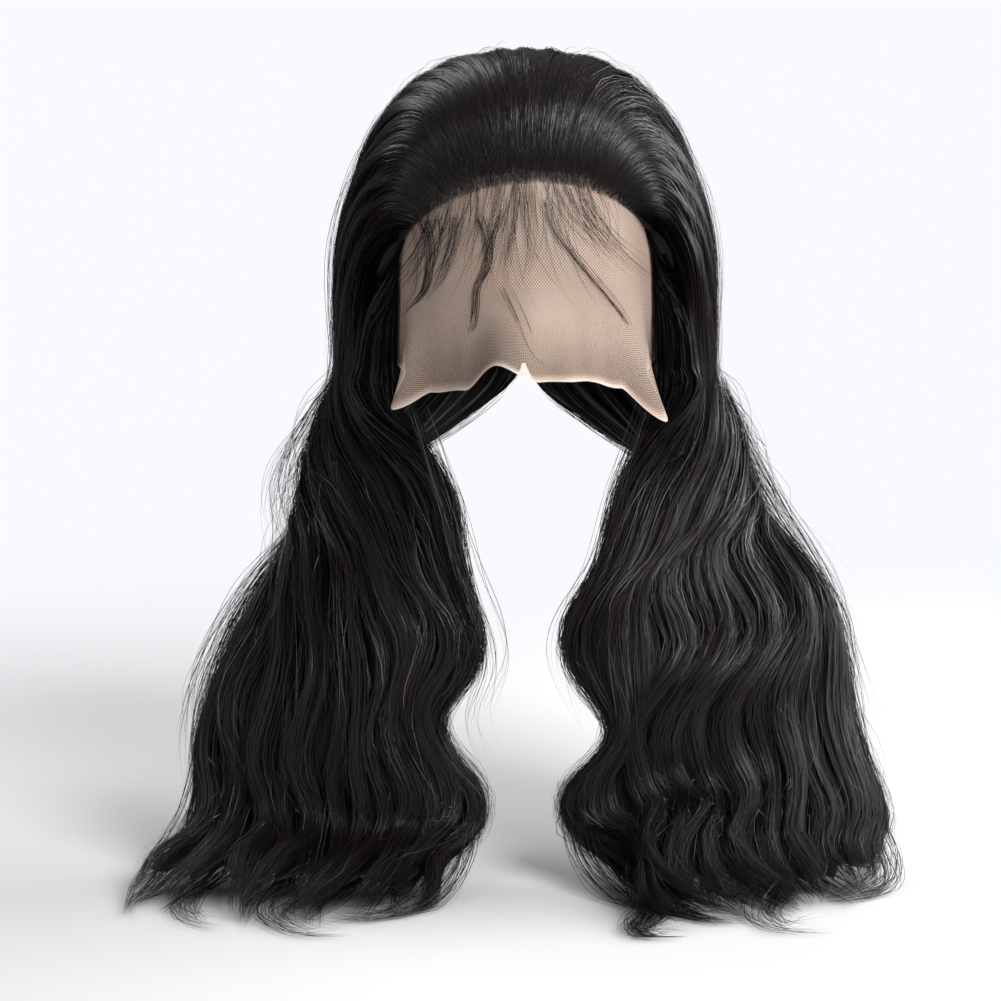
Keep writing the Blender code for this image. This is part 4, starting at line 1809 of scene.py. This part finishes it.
WISPS = (
    Wisp("left_thick", (Trace(-0.0563, -0.0653), Trace(-0.0518, -0.0800), Trace(-0.0540, -0.1010),
                        Trace(-0.0618, -0.1120), Trace(-0.0694, -0.1213)), 22, 0.0040, 0.00024),
    Wisp("pointed", (Trace(-0.0248, -0.0620), Trace(-0.0206, -0.0752), Trace(-0.0206, -0.0885),
                     Trace(-0.0263, -0.0995), Trace(-0.0274, -0.1135), Trace(-0.0316, -0.1336),
                     Trace(-0.0359, -0.1592), Trace(-0.0354, -0.1698), Trace(-0.0339, -0.1781)),
         11, 0.0013, 0.00028),
    Wisp("pointed_joiner", (Trace(-0.0128, -0.0593), Trace(-0.0170, -0.0710), Trace(-0.0206, -0.0834),
                            Trace(-0.0248, -0.0979)), 7, 0.0018, 0.00024),
    Wisp("right_long", (Trace(0.0090, -0.0542), Trace(0.0152, -0.0715), Trace(0.0283, -0.0887),
                        Trace(0.0455, -0.1093), Trace(0.0551, -0.1239), Trace(0.0621, -0.1377)),
         10, 0.0018, 0.00026),
    Wisp("middle_curl", (Trace(-0.0128, -0.0991), Trace(-0.0046, -0.1144), Trace(0.0021, -0.1292),
                         Trace(0.0109, -0.1385), Trace(0.0333, -0.1427)), 5, 0.0022, 0.00022),
    Wisp("left_fringe", (Trace(-0.0374, -0.0628), Trace(-0.0390, -0.0757), Trace(-0.0421, -0.0872),
                         Trace(-0.0475, -0.0995), Trace(-0.0563, -0.1108)), 12, 0.0042, 0.00022),
    Wisp("left_fringe_low", (Trace(-0.0454, -0.0637), Trace(-0.0448, -0.0739), Trace(-0.0464, -0.0843),
                             Trace(-0.0507, -0.0950), Trace(-0.0590, -0.1084)), 12, 0.0042, 0.00022),
    Wisp("centre_left", (Trace(-0.0055, -0.0526), Trace(-0.0076, -0.0674), Trace(-0.0113, -0.0827),
                         Trace(-0.0139, -0.1006)), 7, 0.0036, 0.00020),
    Wisp("centre", (Trace(0.0017, -0.0496), Trace(0.0043, -0.0674), Trace(0.0017, -0.0852),
                    Trace(-0.0025, -0.1004)), 7, 0.0040, 0.00020),
    Wisp("right_short", (Trace(0.0206, -0.0482), Trace(0.0278, -0.0626), Trace(0.0384, -0.0757),
                         Trace(0.0465, -0.0874)), 8, 0.0040, 0.00018),
)


@dataclass(frozen=True)
class Fringe:
    """Fine hairs that fall side by side from one stretch of the hairline."""

    name: str
    across: tuple[float, float]
    count: int
    length: tuple[float, float]
    lean: float
    bend: float
    width: float = 0.00026


FRINGES = (
    Fringe("left_comb", (-0.80, -0.36), 44, (0.026, 0.070), -0.05, -0.55, 0.00022),
    Fringe("left_of_centre", (-0.42, -0.02), 40, (0.020, 0.078), -0.12, -0.12, 0.00020),
    Fringe("centre", (-0.10, 0.24), 26, (0.022, 0.066), 0.02, 0.06, 0.00018),
    Fringe("right_arcs", (0.08, 0.46), 36, (0.028, 0.078), 0.22, 0.52, 0.00018),
    Fringe("right_loops", (0.34, 0.78), 14, (0.020, 0.050), 0.55, -0.60, 0.00015),
    Fringe("crossing", (-0.30, 0.40), 18, (0.060, 0.098), -0.30, 0.60, 0.00016),
)


@dataclass(frozen=True)
class HairlineHair:
    """Short hair at the hairline: wisps over the lace, fringes of fine hairs, and knotted roots."""

    seed: int = 301
    lift: float = 0.0022
    points: int = 22
    tilt: float = 20.0
    root_taper: float = 0.04
    tip_taper: float = 0.45
    wisp_sway: float = 0.0008
    fringe_sway: float = 0.0010
    fringe_lean_jitter: float = 0.10
    fringe_bend_jitter: float = 0.08
    fringe_rise: float = 0.002
    fringe_shortening: float = 0.22
    knots: int = 1700
    knot_points: int = 6
    knot_start: tuple[float, float] = (-0.026, 0.004)
    knot_span: tuple[float, float] = (0.014, 0.036)
    knot_sway: float = 0.006
    knot_rise: float = 0.0018
    knot_half_width: float = 0.00008
    knot_tilt: float = 30.0

    def build(self, lace: LaceFront, finish: bpy.types.Material) -> None:
        """Builds the piece.

        Args:
            lace: the panel that carries them.
            finish: the finish of fine hair.
        """
        rng = np.random.default_rng(self.seed)
        coats = [self._wisp(rng, lace, wisp) for wisp in WISPS]
        coats += [self._fringe(rng, lace, fringe) for fringe in FRINGES]
        coats.append(self._knots(rng))
        settle(ribbon_piece("hairline_wisps", coats, finish), Slot.HAIR)

    def _laid(self, rng: np.random.Generator, lace: LaceFront, x: Array, z: Array, width: float) -> Strands:
        """Lays strands on the lace.

        Args:
            rng: the seeded source of chance.
            lace: the panel under them.
            x: their points' distances to the side, seen from the front.
            z: their points' heights.
            width: a strand's width.

        Returns:
            The strands.
        """
        y = lace.front_y(x, z) - self.lift * rng.uniform(0.6, 1.6, (len(x), 1))
        lines = np.stack([x, y, z], -1)
        hint = np.broadcast_to(np.array([1.0, 0.0, 0.0]), lines.shape)
        half = width / 2.0 * rng.uniform(0.7, 1.2, (len(x), 1))
        half = half * tapered(x.shape[1], self.root_taper, self.tip_taper)[None, :]
        return Strands(lines, faced(rng, lines, hint, self.tilt), half, rng.uniform(0.0, TOP_TONE, len(x)))

    def _wisp(self, rng: np.random.Generator, lace: LaceFront, wisp: Wisp) -> Strands:
        """One wisp's strands, close together at its tip.

        Args:
            rng: the seeded source of chance.
            lace: the panel under them.
            wisp: the wisp.

        Returns:
            The strands.
        """
        LOG.debug("%s: %d hairs", wisp.name, wisp.count)
        t = np.linspace(0.0, 1.0, self.points)[None, :]
        share = t * (1.0 - 0.25 * rng.uniform(0.0, 1.0, (wisp.count, 1)) ** 2)
        trace = smooth_through(np.array(wisp.trace), share.ravel()).reshape(wisp.count, self.points, 2)
        offset = rng.normal(0.0, 1.0, (wisp.count, 1)) * wisp.spread * (1.0 - 0.75 * share)
        sway = self.wisp_sway * wander(rng, wisp.count, self.points, (0.5, 1.6))
        return self._laid(rng, lace, trace[..., 0] + offset + sway, trace[..., 1] + 0.3 * sway, wisp.width)

    def _fringe(self, rng: np.random.Generator, lace: LaceFront, fringe: Fringe) -> Strands:
        """One fringe: hairs that leave the hairline with a lean and bend further on the way down.

        Args:
            rng: the seeded source of chance.
            lace: the panel under them.
            fringe: the fringe.

        Returns:
            The strands.
        """
        LOG.debug("%s: %d hairs", fringe.name, fringe.count)
        across = rng.uniform(*fringe.across, (fringe.count, 1))
        root = self._hairline(across)
        t = np.linspace(0.0, 1.0, self.points)[None, :]
        length = rng.uniform(*fringe.length, (fringe.count, 1))
        lean = fringe.lean + rng.normal(0.0, self.fringe_lean_jitter, across.shape)
        bend = rng.normal(0.0, self.fringe_bend_jitter, across.shape)
        bend = fringe.bend * length / fringe.length[1] + bend
        x = root[..., 0] + length * (lean * t + bend * t**2)
        x = x + self.fringe_sway * wander(rng, fringe.count, self.points, (0.4, 1.2)) * t
        drop = t - self.fringe_shortening * abs(fringe.bend) * t**2
        z = root[..., 2] + self.fringe_rise - length * drop
        return self._laid(rng, lace, x, z, fringe.width)

    def _hairline(self, across: Array) -> Array:
        """Places on the hairline, on the lace."""
        way = HEAD.sweep(across, np.zeros_like(across))
        return HEAD.point(way, np.full_like(across, HEAD.root_proud))

    def _knots(self, rng: np.random.Generator) -> Strands:
        """Short roots that rise from the net at the hairline and lean back into the hair.

        Args:
            rng: the seeded source of chance.

        Returns:
            The strands.
        """
        across = rng.uniform(-0.99, 0.99, (self.knots, 1))
        t = np.linspace(0.0, 1.0, self.knot_points)[None, :]
        start = rng.uniform(*self.knot_start, across.shape)
        back = start + t * rng.uniform(*self.knot_span, across.shape)
        sway = self.knot_sway * wander(rng, self.knots, self.knot_points, (0.2, 0.8))
        column = np.broadcast_to(across, back.shape) + sway
        way = HEAD.sweep(np.clip(column, -0.999, 0.999), back)
        proud = HEAD.root_proud + self.knot_rise * t * np.ones_like(back)
        lines = HEAD.point(way, proud)
        hint = np.broadcast_to(np.array([1.0, 0.0, 0.0]), lines.shape)
        half = self.knot_half_width * rng.uniform(0.6, 1.3, across.shape) * np.ones_like(back)
        facing = faced(rng, lines, hint, self.knot_tilt)
        return Strands(lines, facing, half, rng.uniform(0.0, TOP_TONE, self.knots))


class Softbox(NamedTuple):
    """A square soft light that faces the hair: where it is, its side in metres and its power in watts."""

    name: str
    place: Place
    size: float
    power: float


SOFTBOXES = (
    Softbox("key_softbox", Place(1.3, -1.4, 1.25), 1.3, 50.0),
    Softbox("fill_softbox", Place(-1.5, -1.3, 0.7), 1.2, 5.0),
    Softbox("side_softbox", Place(1.5, 0.6, 0.6), 1.0, 26.0),
    Softbox("rim_softbox", Place(-0.8, 1.1, 1.2), 0.9, 9.0),
)


@dataclass(frozen=True)
class Studio:
    """The pale floor, the soft lights and the camera at the photograph's viewing angle."""

    light_aim: Place = Place(0.0, 0.0, -0.15)
    ground: tuple[float, float, float, float] = (0.955, 0.955, 0.99, 1.0)
    floor_z: float = -0.4125
    floor_size: float = 12.0
    camera_place: Place = Place(-0.0136, -1.5, 0.0)
    camera_pitch: float = 8.57
    focal_pixels: float = 2700.0
    frame_pixels: float = 1001.0
    sensor: float = 36.0
    world_light: float = 0.20

    def build(self) -> None:
        """Builds the floor, world, lights and camera."""
        self._camera()
        self._floor()
        self._world()
        for softbox in SOFTBOXES:
            self._light(softbox)

    def _camera(self) -> None:
        """Adds the camera, level with the crown and tilted down."""
        data = bpy.data.cameras.new("photo_camera")
        data.sensor_fit = "HORIZONTAL"
        data.sensor_width = self.sensor
        data.lens = self.sensor * self.focal_pixels / self.frame_pixels
        data.dof.use_dof = False
        camera = bpy.data.objects.new("photo_camera", data)
        camera.location = self.camera_place
        camera.rotation_euler = (math.radians(90.0 - self.camera_pitch), 0.0, 0.0)
        bpy.context.scene.collection.objects.link(camera)
        bpy.context.scene.camera = camera

    def _floor(self) -> None:
        """Adds the floor, just under the tips."""
        bpy.ops.mesh.primitive_plane_add(size=self.floor_size, location=(0.0, 0.0, self.floor_z))
        floor = bpy.context.object
        floor.name = "studio_floor"
        floor.data.materials.append(StudioFinish().material())

    def _world(self) -> None:
        """Adds even soft light from all round, with a white ground behind the object."""
        world = bpy.data.worlds.new("studio_world")
        world.use_nodes = True
        tree = world.node_tree
        ground = tree.nodes["Background"]
        ground.inputs["Color"].default_value = self.ground
        path = tree.nodes.new("ShaderNodeLightPath")
        blend = tree.nodes.new("ShaderNodeMapRange")
        blend.inputs["To Min"].default_value = self.world_light
        blend.inputs["To Max"].default_value = 1.0
        tree.links.new(path.outputs["Is Camera Ray"], blend.inputs["Value"])
        tree.links.new(blend.outputs["Result"], ground.inputs["Strength"])
        bpy.context.scene.world = world
        bpy.context.scene.view_settings.view_transform = "Standard"

    def _light(self, softbox: Softbox) -> None:
        """Adds one soft light.

        Args:
            softbox: the light.
        """
        data = bpy.data.lights.new(softbox.name, "AREA")
        data.size = softbox.size
        data.energy = softbox.power
        light = bpy.data.objects.new(softbox.name, data)
        light.location = softbox.place
        aim = Vector(self.light_aim) - Vector(softbox.place)
        light.rotation_euler = aim.to_track_quat("-Z", "Y").to_euler()
        bpy.context.scene.collection.objects.link(light)


def dress_cap(frame: dict) -> None:
    """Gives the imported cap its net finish.

    Args:
        frame: the loaded frame.
    """
    cap = frame["nodes"]["cap"]
    cap.data.materials.clear()
    cap.data.materials.append(NetFinish().material())
    LOG.info("cap: %d faces", len(cap.data.polygons))


def main() -> None:
    """Loads the frame and builds every piece in order."""
    logging.basicConfig(level=logging.INFO, format="%(message)s")
    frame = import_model()
    Studio().build()
    finishes = HairFinishes(CoreFinish().material(), StrandFinish().material(), WispFinish().material())
    sides = [HairSide(Side.LEFT, 11, 1.45), HairSide(Side.RIGHT, 23, 1.8)]
    dress_cap(frame)
    CrownHair().build(sides, finishes)
    for hair in sides:
        Fall().build(hair, finishes)
    LooseHair().build(sides, finishes)
    lace = LaceFront()
    lace.build(LaceFinish(lace.flat_width, lace.flat_length).material(), LaceTapeFinish().material())
    HairlineHair().build(lace, finishes.wisp)


if __name__ == "__main__":
    main()
